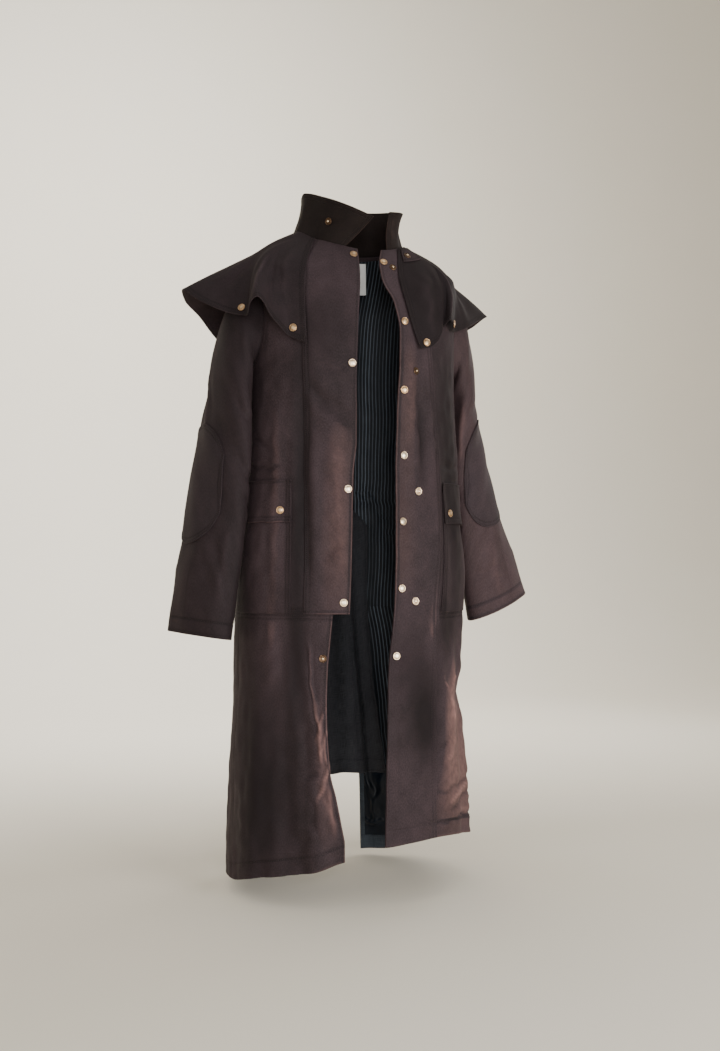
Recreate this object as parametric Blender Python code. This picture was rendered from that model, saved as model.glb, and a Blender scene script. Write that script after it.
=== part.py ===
"""Full-length riding coat with a shoulder cape, filled out as when worn and open at the front.

Metres, +Z up. The coat faces -Y and the wearer's left is +X. The origin is the middle of the
neck seam, where the shoulders carry the coat. Each cloth piece is a thin wall on both sides of
a middle surface. A turn is an angle round the body in degrees: 0 at the centre front, +90 at the
wearer's left side, 180 at the centre back. A down is a distance below the neck seam.
"""
import math

import bmesh
import bpy
from mathutils import Matrix, Vector

# Walls and gaps
CLOTH = 0.0016
LINING = 0.0010
LABEL = 0.0006
SEAM_GAP = 0.0003
SLEEVE_GAP = 0.0019
COLLAR_GAP = 0.0020

# Levels below the neck seam
SHOULDER_TIP = 0.062
UNDERARM = 0.262
FLAP_TOP = 0.483
POCKET_TOP = 0.503
FLAP_BOTTOM = 0.563
SKIRT_SEAM = 0.735

# Angles round the body
SIDE_SEAM = 90.0
ARMHOLE_TURN = 21.0
SQUARENESS = 2.2

# Snap fasteners
SNAP_RADIUS = 0.0075
SNAP_HEIGHT = 0.0034
SNAP_SIDES = 10
SNAP_CLEARANCE = 0.0005

SNAP_PROFILE = ((1.00, 0.00), (1.00, 0.45), (0.72, 0.85))
SHARP_ANGLE = 50.0

# Rows and columns of the walls, and the steps that find their directions
ARMHOLE_STEPS = 9
NECK_DOWNS = [0.0, 0.004, 0.010, 0.034]
CHEST_DOWNS = [0.315, 0.375, 0.430]
WAIST_DOWNS = [0.620, 0.680]
STRIP_SPANS = 4
POCKET_SPANS = 5
BACK_SPANS = 16
RIGHT_SKIRT_SPANS = 9
LEFT_SKIRT_SPANS = 6
SKIRT_ROWS = 8
BACK_SKIRT_SPANS = 8
BACK_SKIRT_LEVELS = [0.0, 0.13, 0.26, 0.39, 0.52, 0.650, 0.656, 0.80, 0.945, 1.0]
STRIPES_END = 0.650
SATIN_END = 0.945
VENT_BAND = 0.035
FANTAIL_DOWNS = [0.500, 0.527, 0.564, 0.620, 0.680, 0.735, 0.810, 0.890, 0.970, 1.040, 1.098]
FANTAIL_SPANS = 14
SLEEVE_HEAD_ROWS = 5
SLEEVE_ROWS = 9
PATCH_ROWS = 8
CAPE_ROWS = 8
CAPE_FRONT_SPANS = 16
CAPE_BACK_SPANS = 11
COLLAR_SPANS = 26
COLLAR_ROWS = 5
TAB_ROWS = 5
TAB_SPANS = 6
NORMAL_STEP = 0.0005
TURN_STEP = 0.2

# Body rings: drops lower the front and the back of a ring below its side
BODY_COLUMNS = ("down", "front_drop", "back_drop", "half_width", "front", "back")
BODY = (
    (0.000, 0.030, 0.000, 0.100, 0.090, 0.090),
    (0.030, 0.045, 0.010, 0.158, 0.120, 0.117),
    (0.062, 0.055, 0.020, 0.207, 0.140, 0.138),
    (0.100, 0.045, 0.015, 0.212, 0.150, 0.150),
    (0.200, 0.015, 0.000, 0.212, 0.158, 0.158),
    (0.260, 0.000, 0.000, 0.2125, 0.160, 0.160),
    (0.440, 0.000, 0.000, 0.217, 0.162, 0.165),
    (0.540, 0.000, 0.000, 0.221, 0.165, 0.170),
    (0.610, 0.000, 0.000, 0.228, 0.168, 0.175),
    (0.735, 0.000, 0.000, 0.2345, 0.171, 0.180),
    (0.900, 0.000, 0.000, 0.2375, 0.176, 0.185),
    (1.000, 0.000, 0.000, 0.2435, 0.180, 0.190),
    (1.100, 0.000, 0.000, 0.2475, 0.183, 0.195),
    (1.300, 0.000, 0.000, 0.252, 0.188, 0.200),
)

# Large folds of the body cloth: a positive depth stands out, a negative one lies in
# Columns: turn_top, turn_bottom, down_from, down_to, half_turn, depth
FOLD_FADE_IN = 0.40
FOLD_FADE_OUT = 0.25
FOLDS = (
    (-40.0, -37.0, 0.20, 0.72, 7.0, -0.006),
    (-24.0, -30.0, 0.74, 1.50, 9.0, 0.010),
    (-45.0, -44.0, 0.74, 1.60, 9.0, -0.007),
    (-62.0, -66.0, 0.72, 1.60, 11.0, 0.008),
    (34.0, 31.0, 0.26, 1.30, 10.0, 0.006),
    (52.0, 50.0, 0.66, 1.60, 10.0, -0.007),
    (74.0, 72.0, 0.62, 1.24, 17.0, -0.014),
    (125.0, 122.0, 0.40, 1.70, 13.0, 0.010),
    (-125.0, -122.0, 0.40, 1.70, 13.0, 0.010),
    (148.0, 146.0, 0.60, 1.70, 11.0, -0.008),
    (-148.0, -146.0, 0.60, 1.70, 11.0, -0.008),
)

# Front edges and the strip seams beside them, as distances from the centre front
EDGE_COLUMNS = ("down", "x")
RIGHT_EDGE = (
    (0.000, -0.020), (0.088, -0.037), (0.176, -0.043), (0.300, -0.047), (0.410, -0.048),
    (0.470, -0.054), (0.610, -0.059), (0.735, -0.064),
)
RIGHT_SKIRT_EDGE = (
    (0.735, -0.095), (0.790, -0.100), (0.850, -0.105), (0.950, -0.108), (1.060, -0.103),
    (1.110, -0.094), (1.210, -0.078),
)
LEFT_EDGE = (
    (0.000, 0.030), (0.021, 0.018), (0.040, 0.016), (0.077, 0.030), (0.116, 0.037),
    (0.168, 0.043), (0.240, 0.042), (0.340, 0.036), (0.520, 0.031), (0.650, 0.029),
    (0.735, 0.024), (0.850, 0.013), (1.010, 0.006), (1.180, 0.002),
)
RIGHT_SEAM = ((0.000, -0.092), (0.045, -0.136), (0.120, -0.144), (0.330, -0.141), (0.735, -0.145))
LEFT_SEAM = (
    (0.000, 0.074), (0.120, 0.105), (0.240, 0.115), (0.450, 0.131), (0.530, 0.133),
    (0.630, 0.127), (0.735, 0.121), (1.180, 0.112),
)
VENT_EDGE = ((0.735, 0.004), (0.900, 0.050), (1.090, 0.086), (1.270, 0.092))
FANTAIL_CLEARANCE = 0.0010
FANTAIL_SWING = 0.010
FANTAIL_SWING_FROM = 0.56
FANTAIL_SWING_OVER = 0.35
FANTAIL_EDGE = (
    (0.500, 0.030), (0.527, 0.064), (0.564, 0.095), (0.735, 0.098), (0.810, 0.105),
    (0.970, 0.128), (1.098, 0.145),
)

# The hem hangs lower at the right side and the back
HEM_COLUMNS = ("turn", "down")
HEM = (
    (-180.0, 1.272), (-87.0, 1.252), (-62.0, 1.232), (-34.0, 1.216), (-16.0, 1.196), (0.0, 1.174),
    (28.0, 1.166), (52.0, 1.176), (90.0, 1.200), (150.0, 1.268), (180.0, 1.272),
)

# Pockets start this share of the way from the strip seam to the side seam, and end at this one
POCKET_SHARES = {"right": (0.14, 0.92), "left": (0.04, 0.92)}

# Sleeve rings: middle, half sizes across and front to back, turning of the front edge inward
SLEEVE_COLUMNS = ("down", "x", "y", "thin", "wide", "twist", "tilt")
SLEEVES = {
    "right": (
        (0.300, 0.251, 0.002, 0.033, 0.077, 8.0, 3.0),
        (0.380, 0.260, 0.000, 0.035, 0.081, 15.0, 5.0),
        (0.470, 0.270, 0.000, 0.038, 0.080, 22.0, 6.0),
        (0.560, 0.280, 0.000, 0.040, 0.079, 25.0, 7.0),
        (0.660, 0.296, 0.000, 0.041, 0.079, 27.0, 8.0),
        (0.779, 0.311, 0.000, 0.042, 0.080, 28.0, 8.0),
    ),
    "left": (
        (0.300, 0.254, 0.045, 0.035, 0.088, 10.0, 4.0),
        (0.360, 0.265, 0.045, 0.038, 0.087, 20.0, 8.0),
        (0.450, 0.283, 0.050, 0.041, 0.085, 34.0, 13.0),
        (0.540, 0.302, 0.050, 0.042, 0.083, 44.0, 17.0),
        (0.640, 0.329, 0.047, 0.042, 0.084, 56.0, 20.0),
        (0.733, 0.350, 0.042, 0.042, 0.085, 64.0, 20.0),
    ),
}
CAP_REACH = 0.062
CAP_DROOP = 0.69
CAP_TUCK = 0.28
CAP_FULLNESS = 0.020
HEAD_LENGTH = 0.25
UNDERARM_REACH = 0.012

# Elbow patches: range of angles round the sleeve and of levels along it
# Columns: first_angle, last_angle, down_from, down_to
PATCH_CLEARANCE = 0.0013
PATCH_ROUNDNESS = 0.80
ELBOW_PATCHES = {"right": (-80.0, 40.0, 0.372, 0.608), "left": (-60.0, 80.0, 0.340, 0.566)}

# Cape halves: where each line starts at the neck and crosses the shoulder, and its hem point
CAPE_COLUMNS = ("station", "neck_turn", "mid_turn", "x", "y", "z")
CAPE_NECK_DOWN = 0.002
CAPE_MID_DOWN = 0.045
CAPE_LIFT = 0.0058
CAPE_NECK_RISE = 0.013
CAPE_NECK_FLARE = 0.012
CAPE_MID_RISE = 0.016
CAPE_SOFTNESS = 0.012
CAPE_STAND_FROM = 62.0
CAPE_STAND_OVER = 24.0
CAPE_NECK_SHARE = 0.12
CAPES = {
    "right": (
        (0, -60.0, -41.0, -0.139, -0.138, -0.228),
        (1, -63.0, -52.0, -0.169, -0.119, -0.211),
        (2, -66.0, -58.0, -0.187, -0.125, -0.197),
        (3, -69.0, -63.0, -0.207, -0.130, -0.177),
        (4, -72.0, -67.0, -0.222, -0.135, -0.155),
        (5, -74.0, -70.0, -0.235, -0.138, -0.148),
        (6, -76.0, -73.0, -0.245, -0.124, -0.161),
        (7, -79.0, -76.0, -0.243, -0.098, -0.174),
        (8, -82.0, -80.0, -0.266, -0.072, -0.168),
        (9, -86.0, -84.0, -0.296, -0.055, -0.155),
        (10, -90.0, -88.0, -0.327, -0.030, -0.134),
        (11, -94.0, -93.0, -0.345, 0.000, -0.1135),
        (12, -102.0, -103.0, -0.330, 0.045, -0.125),
        (13, -112.0, -115.0, -0.290, 0.098, -0.142),
        (14, -125.0, -130.0, -0.250, 0.142, -0.170),
        (15, -140.0, -146.0, -0.190, 0.178, -0.215),
        (16, -160.0, -163.0, -0.100, 0.197, -0.255),
        (17, -180.0, -180.0, 0.000, 0.200, -0.270),
    ),
    "left": (
        (0, 41.0, 14.0, 0.084, -0.161, -0.228),
        (1, 48.0, 25.0, 0.106, -0.158, -0.222),
        (2, 54.0, 36.0, 0.124, -0.151, -0.209),
        (3, 60.0, 45.0, 0.136, -0.141, -0.192),
        (4, 65.0, 53.0, 0.143, -0.136, -0.177),
        (5, 69.0, 58.0, 0.153, -0.146, -0.163),
        (6, 72.0, 63.0, 0.166, -0.134, -0.168),
        (7, 75.0, 68.0, 0.178, -0.106, -0.179),
        (8, 79.0, 73.0, 0.201, -0.090, -0.172),
        (9, 83.0, 79.0, 0.227, -0.072, -0.160),
        (10, 87.0, 85.0, 0.264, -0.038, -0.140),
        (11, 92.0, 92.0, 0.312, 0.015, -0.116),
        (12, 100.0, 102.0, 0.308, 0.062, -0.126),
        (13, 112.0, 115.0, 0.282, 0.105, -0.145),
        (14, 125.0, 130.0, 0.246, 0.144, -0.170),
        (15, 140.0, 146.0, 0.190, 0.178, -0.215),
        (16, 160.0, 163.0, 0.100, 0.197, -0.255),
        (17, 180.0, 180.0, 0.000, 0.200, -0.270),
    ),
}
CAPE_FOLD_STATION = 8
CAPE_LAST_STATION = 17

# Collar: where each line stands on the neck ring, and its upper end
COLLAR_COLUMNS = ("turn", "x", "y", "z")
COLLAR = (
    (-24.0, 0.000, -0.126, 0.027),
    (-40.0, -0.040, -0.109, 0.047),
    (-62.0, -0.078, -0.068, 0.072),
    (-90.0, -0.102, -0.006, 0.094),
    (-125.0, -0.085, 0.051, 0.097),
    (-180.0, 0.000, 0.086, 0.095),
    (-235.0, 0.080, 0.050, 0.090),
    (-275.0, 0.099, -0.005, 0.078),
    (-300.0, 0.097, -0.036, 0.066),
    (-318.0, 0.080, -0.062, 0.060),
    (-334.0, 0.053, -0.078, 0.054),
)
COLLAR_WAIST = 0.005
COLLAR_RISE = 0.0012
COLLAR_SEAT = 0.0014

# Throat tab on the left shoulder of the cape: stations and shares of the way down
TAB_STATIONS = (0.5, 3.1)
TAB_SHARES = (0.03, 0.20)
TAB_LIFT = 0.0024

# Blank label that hangs from its upper edge inside the back of the neck
LABEL_HALF_WIDTH = 0.063
LABEL_TOP = 0.006
LABEL_LENGTH = 0.066
LABEL_CLEARANCE = 0.0012
LABEL_ROWS = 4
LABEL_SPANS = 8

# Snaps on the fronts: place across and below the neck seam, and the layer that carries each
# Columns: name, x, down, layer
FRONT_SNAPS = (
    ("snap_cap_right_1", -0.031, 0.010, "strip"),
    ("snap_cap_right_2", -0.055, 0.263, "strip"),
    ("snap_cap_right_3", -0.065, 0.501, "strip"),
    ("snap_cap_right_4", -0.075, 0.714, "strip"),
    ("snap_socket_skirt_right", -0.113, 0.818, "panel"),
    ("snap_cap_left_1", 0.0275, 0.018, "strip"),
    ("snap_cap_left_2", 0.053, 0.147, "strip"),
    ("snap_cap_left_3", 0.049, 0.309, "strip"),
    ("snap_cap_left_4", 0.049, 0.434, "strip"),
    ("snap_cap_left_5", 0.044, 0.561, "strip"),
    ("snap_cap_left_6", 0.040, 0.688, "strip"),
    ("snap_cap_left_7", 0.029, 0.816, "strip"),
    ("snap_socket_left_1", 0.0445, 0.026, "strip"),
    ("snap_socket_left_2", 0.074, 0.271, "strip"),
    ("snap_socket_left_3", 0.079, 0.502, "strip"),
    ("snap_socket_left_4", 0.071, 0.713, "strip"),
    ("snap_flap_right", -0.179, 0.540, "flap"),
    ("snap_flap_left", 0.157, 0.543, "flap"),
)
# Snaps on the cape. Columns: name, side, station, share
CAPE_SNAPS = (
    ("snap_cape_right_front", "right", 0.62, 0.925),
    ("snap_cape_right_side", "right", 7.52, 0.940),
    ("snap_cape_left_front", "left", 0.68, 0.962),
    ("snap_cape_left_side", "left", 6.80, 0.940),
)
# How far a snap's round foot stands off a curved wall, or sinks towards a hollow one
SNAP_SEATS = {
    "snap_cape_right_front": 0.0012,
    "snap_cape_right_side": 0.0022,
    "snap_cape_left_front": -0.0002,
    "snap_cape_left_side": 0.0014,
    "snap_flap_right": 0.0008,
    "snap_flap_left": 0.0008,
    "snap_socket_skirt_right": -0.0008,
    "snap_socket_left_1": -0.0007,
    "snap_collar": -0.0006,
}
COLLAR_SNAP = (-54.5, 0.49)
TAB_SNAP = (1.15, 0.13)

COLOURS = {
    "cloth": ((0.052, 0.034, 0.033), 0.62, 0.0),
    "collar": ((0.018, 0.013, 0.012), 0.70, 0.0),
    "stripes": ((0.010, 0.012, 0.015), 0.60, 0.0),
    "satin": ((0.016, 0.024, 0.034), 0.30, 0.0),
    "fantail": ((0.020, 0.020, 0.024), 0.75, 0.0),
    "label": ((0.80, 0.80, 0.78), 0.60, 0.0),
    "brass": ((0.55, 0.36, 0.18), 0.30, 1.0),
}


def monotone(rows, at, column):
    """Value of a column where a table's first column is at, by a cubic that does not overshoot."""
    at = min(max(at, rows[0][0]), rows[-1][0])
    last = len(rows) - 2
    index = min(last, max(i for i in range(len(rows)) if rows[i][0] <= at))

    def slope(i):
        return (rows[i + 1][column] - rows[i][column]) / (rows[i + 1][0] - rows[i][0])

    def tangent(i):
        if i == 0:
            return slope(0)
        if i == len(rows) - 1:
            return slope(last)
        before = slope(i - 1)
        after = slope(i)
        return 0.0 if before * after <= 0.0 else 2.0 * before * after / (before + after)

    width = rows[index + 1][0] - rows[index][0]
    t = (at - rows[index][0]) / width
    start = rows[index][column]
    end = rows[index + 1][column]
    rise = 3.0 * t * t - 2.0 * t ** 3
    lead = t ** 3 - 2.0 * t * t + t
    tail = t ** 3 - t * t
    return start + (end - start) * rise + width * (tangent(index) * lead + tangent(index + 1) * tail)


def even(first, last, count):
    """Evenly spread values, both ends included."""
    return [first + (last - first) * i / count for i in range(count + 1)]


def ease(t):
    """Smooth step from 0 to 1."""
    t = min(max(t, 0.0), 1.0)
    return t * t * (3.0 - 2.0 * t)


def rounded(value):
    """Sine or cosine made squarer, which flattens an oval's sides."""
    return math.copysign(abs(value) ** (2.0 / SQUARENESS), value)


def fold_push(turn, down):
    """How far the folds push the body cloth out at a place."""
    push = 0.0
    turn = math.remainder(turn, 360.0)
    for turn_top, turn_bottom, down_from, down_to, half_turn, depth in FOLDS:
        share = (down - down_from) / (down_to - down_from)
        if 0.0 < share < 1.0:
            away = abs(turn - turn_top - (turn_bottom - turn_top) * share) / half_turn
            if away < 1.0:
                fade = ease(share / FOLD_FADE_IN) * ease((1.0 - share) / FOLD_FADE_OUT)
                push += depth * fade * (0.5 + 0.5 * math.cos(math.pi * away))
    return push


def body_point(turn, down):
    """Middle surface of the coat body."""
    angle = math.radians(turn)
    across = rounded(math.sin(angle))
    along = rounded(math.cos(angle))
    ahead = math.cos(angle) > 0.0
    half_width = monotone(BODY, down, BODY_COLUMNS.index("half_width"))
    depth = monotone(BODY, down, BODY_COLUMNS.index("front" if ahead else "back"))
    drop = monotone(BODY, down, BODY_COLUMNS.index("front_drop" if ahead else "back_drop"))
    below = max(0.0, down - BODY[-1][0])
    place = Vector((half_width * across, -depth * along, -down - below - drop * math.cos(angle) ** 2))
    out = Vector((across / half_width, -along / depth, 0.0)).normalized()
    return place + out * fold_push(turn, down)


def turn_at(x, down):
    """Turn of the place on the front half of a body ring that is x from the middle."""
    half_width = monotone(BODY, down, BODY_COLUMNS.index("half_width"))
    share = min(1.0, abs(x) / half_width)
    return math.copysign(math.degrees(math.asin(share ** (SQUARENESS / 2.0))), x)


def back_turn_at(x, down):
    """The same on the back half of the ring."""
    return math.copysign(180.0, x) - turn_at(x, down)


def edge_turn(table, down):
    """Turn of a front edge or strip seam at a level."""
    return turn_at(monotone(table, down, EDGE_COLUMNS.index("x")), down)


def seam_turn(down):
    """Turn taken by half of a seam's gap."""
    half_width = monotone(BODY, down, BODY_COLUMNS.index("half_width"))
    return math.degrees(0.5 * SEAM_GAP / half_width)


def armhole_angle(down):
    """Angle round the armhole at a level: 0 at the shoulder tip, 180 under the arm."""
    share = (down - SHOULDER_TIP) / (UNDERARM - SHOULDER_TIP)
    return math.degrees(math.acos(min(max(1.0 - 2.0 * share, -1.0), 1.0)))


def side_turn(down):
    """How far from the centre front, as a turn, a front reaches at a level."""
    inset = ARMHOLE_TURN * math.sin(math.radians(armhole_angle(down)))
    return SIDE_SEAM - inset - seam_turn(down)


def armhole_downs():
    """Levels of the armhole's rows."""
    middle = 0.5 * (SHOULDER_TIP + UNDERARM)
    half = 0.5 * (UNDERARM - SHOULDER_TIP)
    return [middle - half * math.cos(math.pi * i / ARMHOLE_STEPS) for i in range(ARMHOLE_STEPS + 1)]


class Sheet:
    """Middle surface of a cloth piece: rows of points with the directions that face out."""

    def __init__(self, points, normals, closed=False):
        self.points = points
        self.normals = normals
        self.closed = closed

    def part(self, rows, columns, lift):
        """Piece of the sheet between two rows and two columns, moved out."""
        points = []
        normals = []
        for row in range(rows[0], rows[1] + 1):
            span = [column % len(self.points[row]) for column in range(columns[0], columns[1] + 1)]
            points.append([self.points[row][i] + self.normals[row][i] * lift for i in span])
            normals.append([self.normals[row][i] for i in span])
        return Sheet(points, normals)


def normal_at(surface, across, along, step_across, step_along):
    """Direction square to a surface at a place."""
    over = surface(across + step_across, along) - surface(across - step_across, along)
    down = surface(across, along + step_along) - surface(across, along - step_along)
    return over.cross(down).normalized()


def body_normal(turn, down):
    """Direction that faces out of the body."""
    low = max(down, 2.0 * NORMAL_STEP)
    return -normal_at(body_point, turn, low, TURN_STEP, NORMAL_STEP)


def body_sheet(rows, lift=0.0):
    """Sheet on the body from rows of turn and down pairs."""
    points = []
    normals = []
    for row in rows:
        facing = [body_normal(turn, down) for turn, down in row]
        points.append([body_point(turn, down) + n * lift for (turn, down), n in zip(row, facing)])
        normals.append(facing)
    return Sheet(points, normals)


def grid_sheet(points, outward, closed=False):
    """Sheet through a grid of points, facing the way that outward says for its middle."""
    normals = []
    last_row = len(points) - 1
    count = len(points[0])
    for i, row in enumerate(points):
        facing = []
        for j in range(count):
            before = (j - 1) % count if closed else max(j - 1, 0)
            after = (j + 1) % count if closed else min(j + 1, count - 1)
            over = row[after] - row[before]
            down = points[min(i + 1, last_row)][j] - points[max(i - 1, 0)][j]
            facing.append(over.cross(down).normalized())
        normals.append(facing)
    middle = normals[last_row // 2][count // 2]
    if middle.dot(outward) < 0.0:
        normals = [[-n for n in row] for row in normals]
    return Sheet(points, normals, closed)


def material(name):
    """Material of a cloth or metal, made once."""
    found = bpy.data.materials.get(name)
    if found:
        return found
    colour, roughness, metallic = COLOURS[name]
    made = bpy.data.materials.new(name)
    made.use_nodes = True
    shader = made.node_tree.nodes["Principled BSDF"]
    shader.inputs["Base Color"].default_value = (*colour, 1.0)
    shader.inputs["Roughness"].default_value = roughness
    shader.inputs["Metallic"].default_value = metallic
    return made


def add_object(name, bm, finish):
    """Object from a mesh, shaded smooth, with its material."""
    bmesh.ops.recalc_face_normals(bm, faces=bm.faces)
    mesh = bpy.data.meshes.new(name)
    bm.to_mesh(mesh)
    bm.free()
    mesh.shade_smooth()
    mesh.set_sharp_from_angle(angle=math.radians(SHARP_ANGLE))
    mesh.materials.append(material(finish))
    made = bpy.data.objects.new(name, mesh)
    bpy.context.scene.collection.objects.link(made)
    return made


def add_wall(name, sheet, thickness, finish):
    """Closed wall of an even thickness round a sheet."""
    bm = bmesh.new()
    half = 0.5 * thickness
    sides = []
    for sign in (1.0, -1.0):
        side = []
        for points, normals in zip(sheet.points, sheet.normals):
            side.append([bm.verts.new(p + n * (sign * half)) for p, n in zip(points, normals)])
        sides.append(side)
    outer, inner = sides
    rows = len(outer)
    columns = len(outer[0])
    spans = columns if sheet.closed else columns - 1
    for side in sides:
        for i in range(rows - 1):
            for j in range(spans):
                k = (j + 1) % columns
                bm.faces.new((side[i][j], side[i + 1][j], side[i + 1][k]))
                bm.faces.new((side[i][j], side[i + 1][k], side[i][k]))
    for i in (0, rows - 1):
        for j in range(spans):
            k = (j + 1) % columns
            bm.faces.new((outer[i][j], outer[i][k], inner[i][k], inner[i][j]))
    if not sheet.closed:
        for j in (0, columns - 1):
            for i in range(rows - 1):
                bm.faces.new((outer[i][j], outer[i + 1][j], inner[i + 1][j], inner[i][j]))
    return add_object(name, bm, finish)


def add_snap(name, place, facing):
    """Round snap with a domed cap, standing on a place."""
    bm = bmesh.new()
    turn = facing.to_track_quat("Z", "Y").to_matrix().to_4x4()
    stand = SNAP_CLEARANCE + SNAP_SEATS.get(name, 0.0)
    seat = Matrix.Translation(place + facing * stand) @ turn
    rings = []
    for share, height in SNAP_PROFILE:
        ring = []
        for i in range(SNAP_SIDES):
            angle = 2.0 * math.pi * i / SNAP_SIDES
            radius = SNAP_RADIUS * share
            local = Vector((radius * math.cos(angle), radius * math.sin(angle), SNAP_HEIGHT * height))
            ring.append(bm.verts.new(seat @ local))
        rings.append(ring)
    top = bm.verts.new(seat @ Vector((0.0, 0.0, SNAP_HEIGHT)))
    bm.faces.new(rings[0])
    for i in range(SNAP_SIDES):
        k = (i + 1) % SNAP_SIDES
        for low, high in zip(rings, rings[1:]):
            bm.faces.new((low[i], low[k], high[k], high[i]))
        bm.faces.new((rings[-1][i], rings[-1][k], top))
    return add_object(name, bm, "brass")


def body_downs():
    """Levels of the rows from the neck seam to the skirt seam."""
    pocket = [FLAP_TOP, POCKET_TOP, FLAP_BOTTOM]
    seam = [SKIRT_SEAM - 0.5 * SEAM_GAP]
    return NECK_DOWNS + armhole_downs() + CHEST_DOWNS + pocket + WAIST_DOWNS + seam


def front_turns(side, down):
    """Turns of a front's columns: strip, gap, pocket, rest."""
    edge_table, seam_table = (RIGHT_EDGE, RIGHT_SEAM) if side == "right" else (LEFT_EDGE, LEFT_SEAM)
    edge = edge_turn(edge_table, down)
    seam = edge_turn(seam_table, down)
    end = math.copysign(side_turn(down), seam)
    pocket_from, pocket_to = POCKET_SHARES[side]
    turns = even(edge, seam, STRIP_SPANS)
    turns += even(seam + (end - seam) * pocket_from, seam + (end - seam) * pocket_to, POCKET_SPANS)
    return turns + [end]


def make_front(side):
    """Front from the shoulder to the skirt seam, with its strip, pocket and flap."""
    downs = body_downs()
    panel = body_sheet([[(turn, down) for turn in front_turns(side, down)] for down in downs])
    add_wall("front_" + side, panel, CLOTH, "cloth")
    lift = CLOTH + SEAM_GAP
    first = STRIP_SPANS + 1
    columns = (first, first + POCKET_SPANS)
    top = downs.index(FLAP_TOP)
    bottom = downs.index(FLAP_BOTTOM)
    pocket = panel.part((downs.index(POCKET_TOP), len(downs) - 1), columns, lift)
    add_wall("pocket_" + side, pocket, CLOTH, "cloth")
    add_wall("pocket_flap_" + side, panel.part((top, bottom), columns, 2.0 * lift), CLOTH, "cloth")


def hem_down(turn):
    """Level of the hem at a turn."""
    return monotone(HEM, turn, HEM_COLUMNS.index("down"))


def skirt_rows(first, last, shares, levels):
    """Turn and down pairs of a skirt between two edges, each a function of the level."""
    rows = []
    for level in levels:
        row = []
        for share in shares:
            guess = SKIRT_SEAM + level * (hem_down(last(SKIRT_SEAM)) - SKIRT_SEAM)
            turn = first(guess) + (last(guess) - first(guess)) * share
            top = SKIRT_SEAM + 0.5 * SEAM_GAP
            row.append((turn, top + level * (hem_down(turn) - top)))
        rows.append(row)
    return rows


def left_strip_rows():
    """Rows of the left strip below the skirt seam, on the same columns as the left front skirt."""
    return skirt_rows(lambda d: edge_turn(LEFT_EDGE, d), lambda d: edge_turn(LEFT_SEAM, d),
                      even(0.0, 1.0, STRIP_SPANS), even(0.0, 1.0, SKIRT_ROWS))


def make_skirts():
    """Four skirts below the skirt seam, the left back one lined."""
    side = SIDE_SEAM
    levels = even(0.0, 1.0, SKIRT_ROWS)
    right = skirt_rows(lambda d: edge_turn(RIGHT_SKIRT_EDGE, d), lambda d: seam_turn(d) - side,
                       even(0.0, 1.0, RIGHT_SKIRT_SPANS), levels)
    add_wall("skirt_front_right", body_sheet(right), CLOTH, "cloth")
    rest = skirt_rows(lambda d: edge_turn(LEFT_SEAM, d), lambda d: side - seam_turn(d),
                      even(0.0, 1.0, LEFT_SKIRT_SPANS), levels)
    left = [strip + others[1:] for strip, others in zip(left_strip_rows(), rest)]
    add_wall("skirt_front_left", body_sheet(left), CLOTH, "cloth")
    shares = even(0.0, 1.0 - VENT_BAND, BACK_SKIRT_SPANS) + [1.0]
    for name, sign in (("right", -1.0), ("left", 1.0)):
        rows = skirt_rows(lambda d: sign * (side + seam_turn(d)),
                          lambda d: back_turn_at(sign * monotone(VENT_EDGE, d, 1), d),
                          shares, BACK_SKIRT_LEVELS)
        skirt = body_sheet(rows)
        add_wall("skirt_back_" + name, skirt, CLOTH, "cloth")
    lift = -(0.5 * CLOTH + SEAM_GAP + 0.5 * LINING)
    columns = (0, BACK_SKIRT_SPANS)
    stripes_row = BACK_SKIRT_LEVELS.index(STRIPES_END)
    satin_row = BACK_SKIRT_LEVELS.index(SATIN_END)
    add_wall("lining_skirt_left", skirt.part((0, stripes_row), columns, lift), LINING, "stripes")
    add_wall("satin_skirt_left", skirt.part((stripes_row + 1, satin_row), columns, lift), LINING, "satin")


def make_strips():
    """Front strips: the right one ends at the skirt seam, the left one at the hem."""
    lift = CLOTH + SEAM_GAP
    for side in ("right", "left"):
        rows = []
        for down in body_downs():
            rows.append([(turn, down) for turn in front_turns(side, down)[:STRIP_SPANS + 1]])
        if side == "left":
            rows += left_strip_rows()[1:]
        add_wall("placket_" + side, body_sheet(rows, lift), CLOTH, "cloth")


def back_rows(downs, spans):
    """Turn and down pairs across the back from the left side to the right."""
    rows = []
    for down in downs:
        reach = side_turn(down)
        rows.append([(180.0 - reach + 2.0 * reach * i / spans, down) for i in range(spans + 1)])
    return rows


def make_back():
    """Back from the neck to the skirt seam, with its striped lining."""
    downs = body_downs()
    back = body_sheet(back_rows(downs, BACK_SPANS))
    add_wall("back", back, CLOTH, "cloth")
    lift = -(0.5 * CLOTH + SEAM_GAP + 0.5 * LINING)
    lining = back.part((1, len(downs) - 1), (1, BACK_SPANS - 1), lift)
    add_wall("lining_back", lining, LINING, "stripes")


def make_fantail():
    """Plain panel hung inside the back, over the vent."""
    layers = 0.5 * CLOTH + SEAM_GAP + LINING + SEAM_GAP + 0.5 * CLOTH
    points = []
    for down in FANTAIL_DOWNS:
        reach = turn_at(monotone(FANTAIL_EDGE, down, EDGE_COLUMNS.index("x")), down)
        swing = FANTAIL_SWING * ease((down - FANTAIL_SWING_FROM) / FANTAIL_SWING_OVER)
        hang = layers + FANTAIL_CLEARANCE + swing
        row = []
        for share in even(-1.0, 1.0, FANTAIL_SPANS):
            turn = 180.0 + reach * share
            row.append(body_point(turn, down) - body_normal(turn, down) * hang)
        points.append(row)
    add_wall("fantail", grid_sheet(points, Vector((0.0, 1.0, 0.0))), CLOTH, "fantail")


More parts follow.
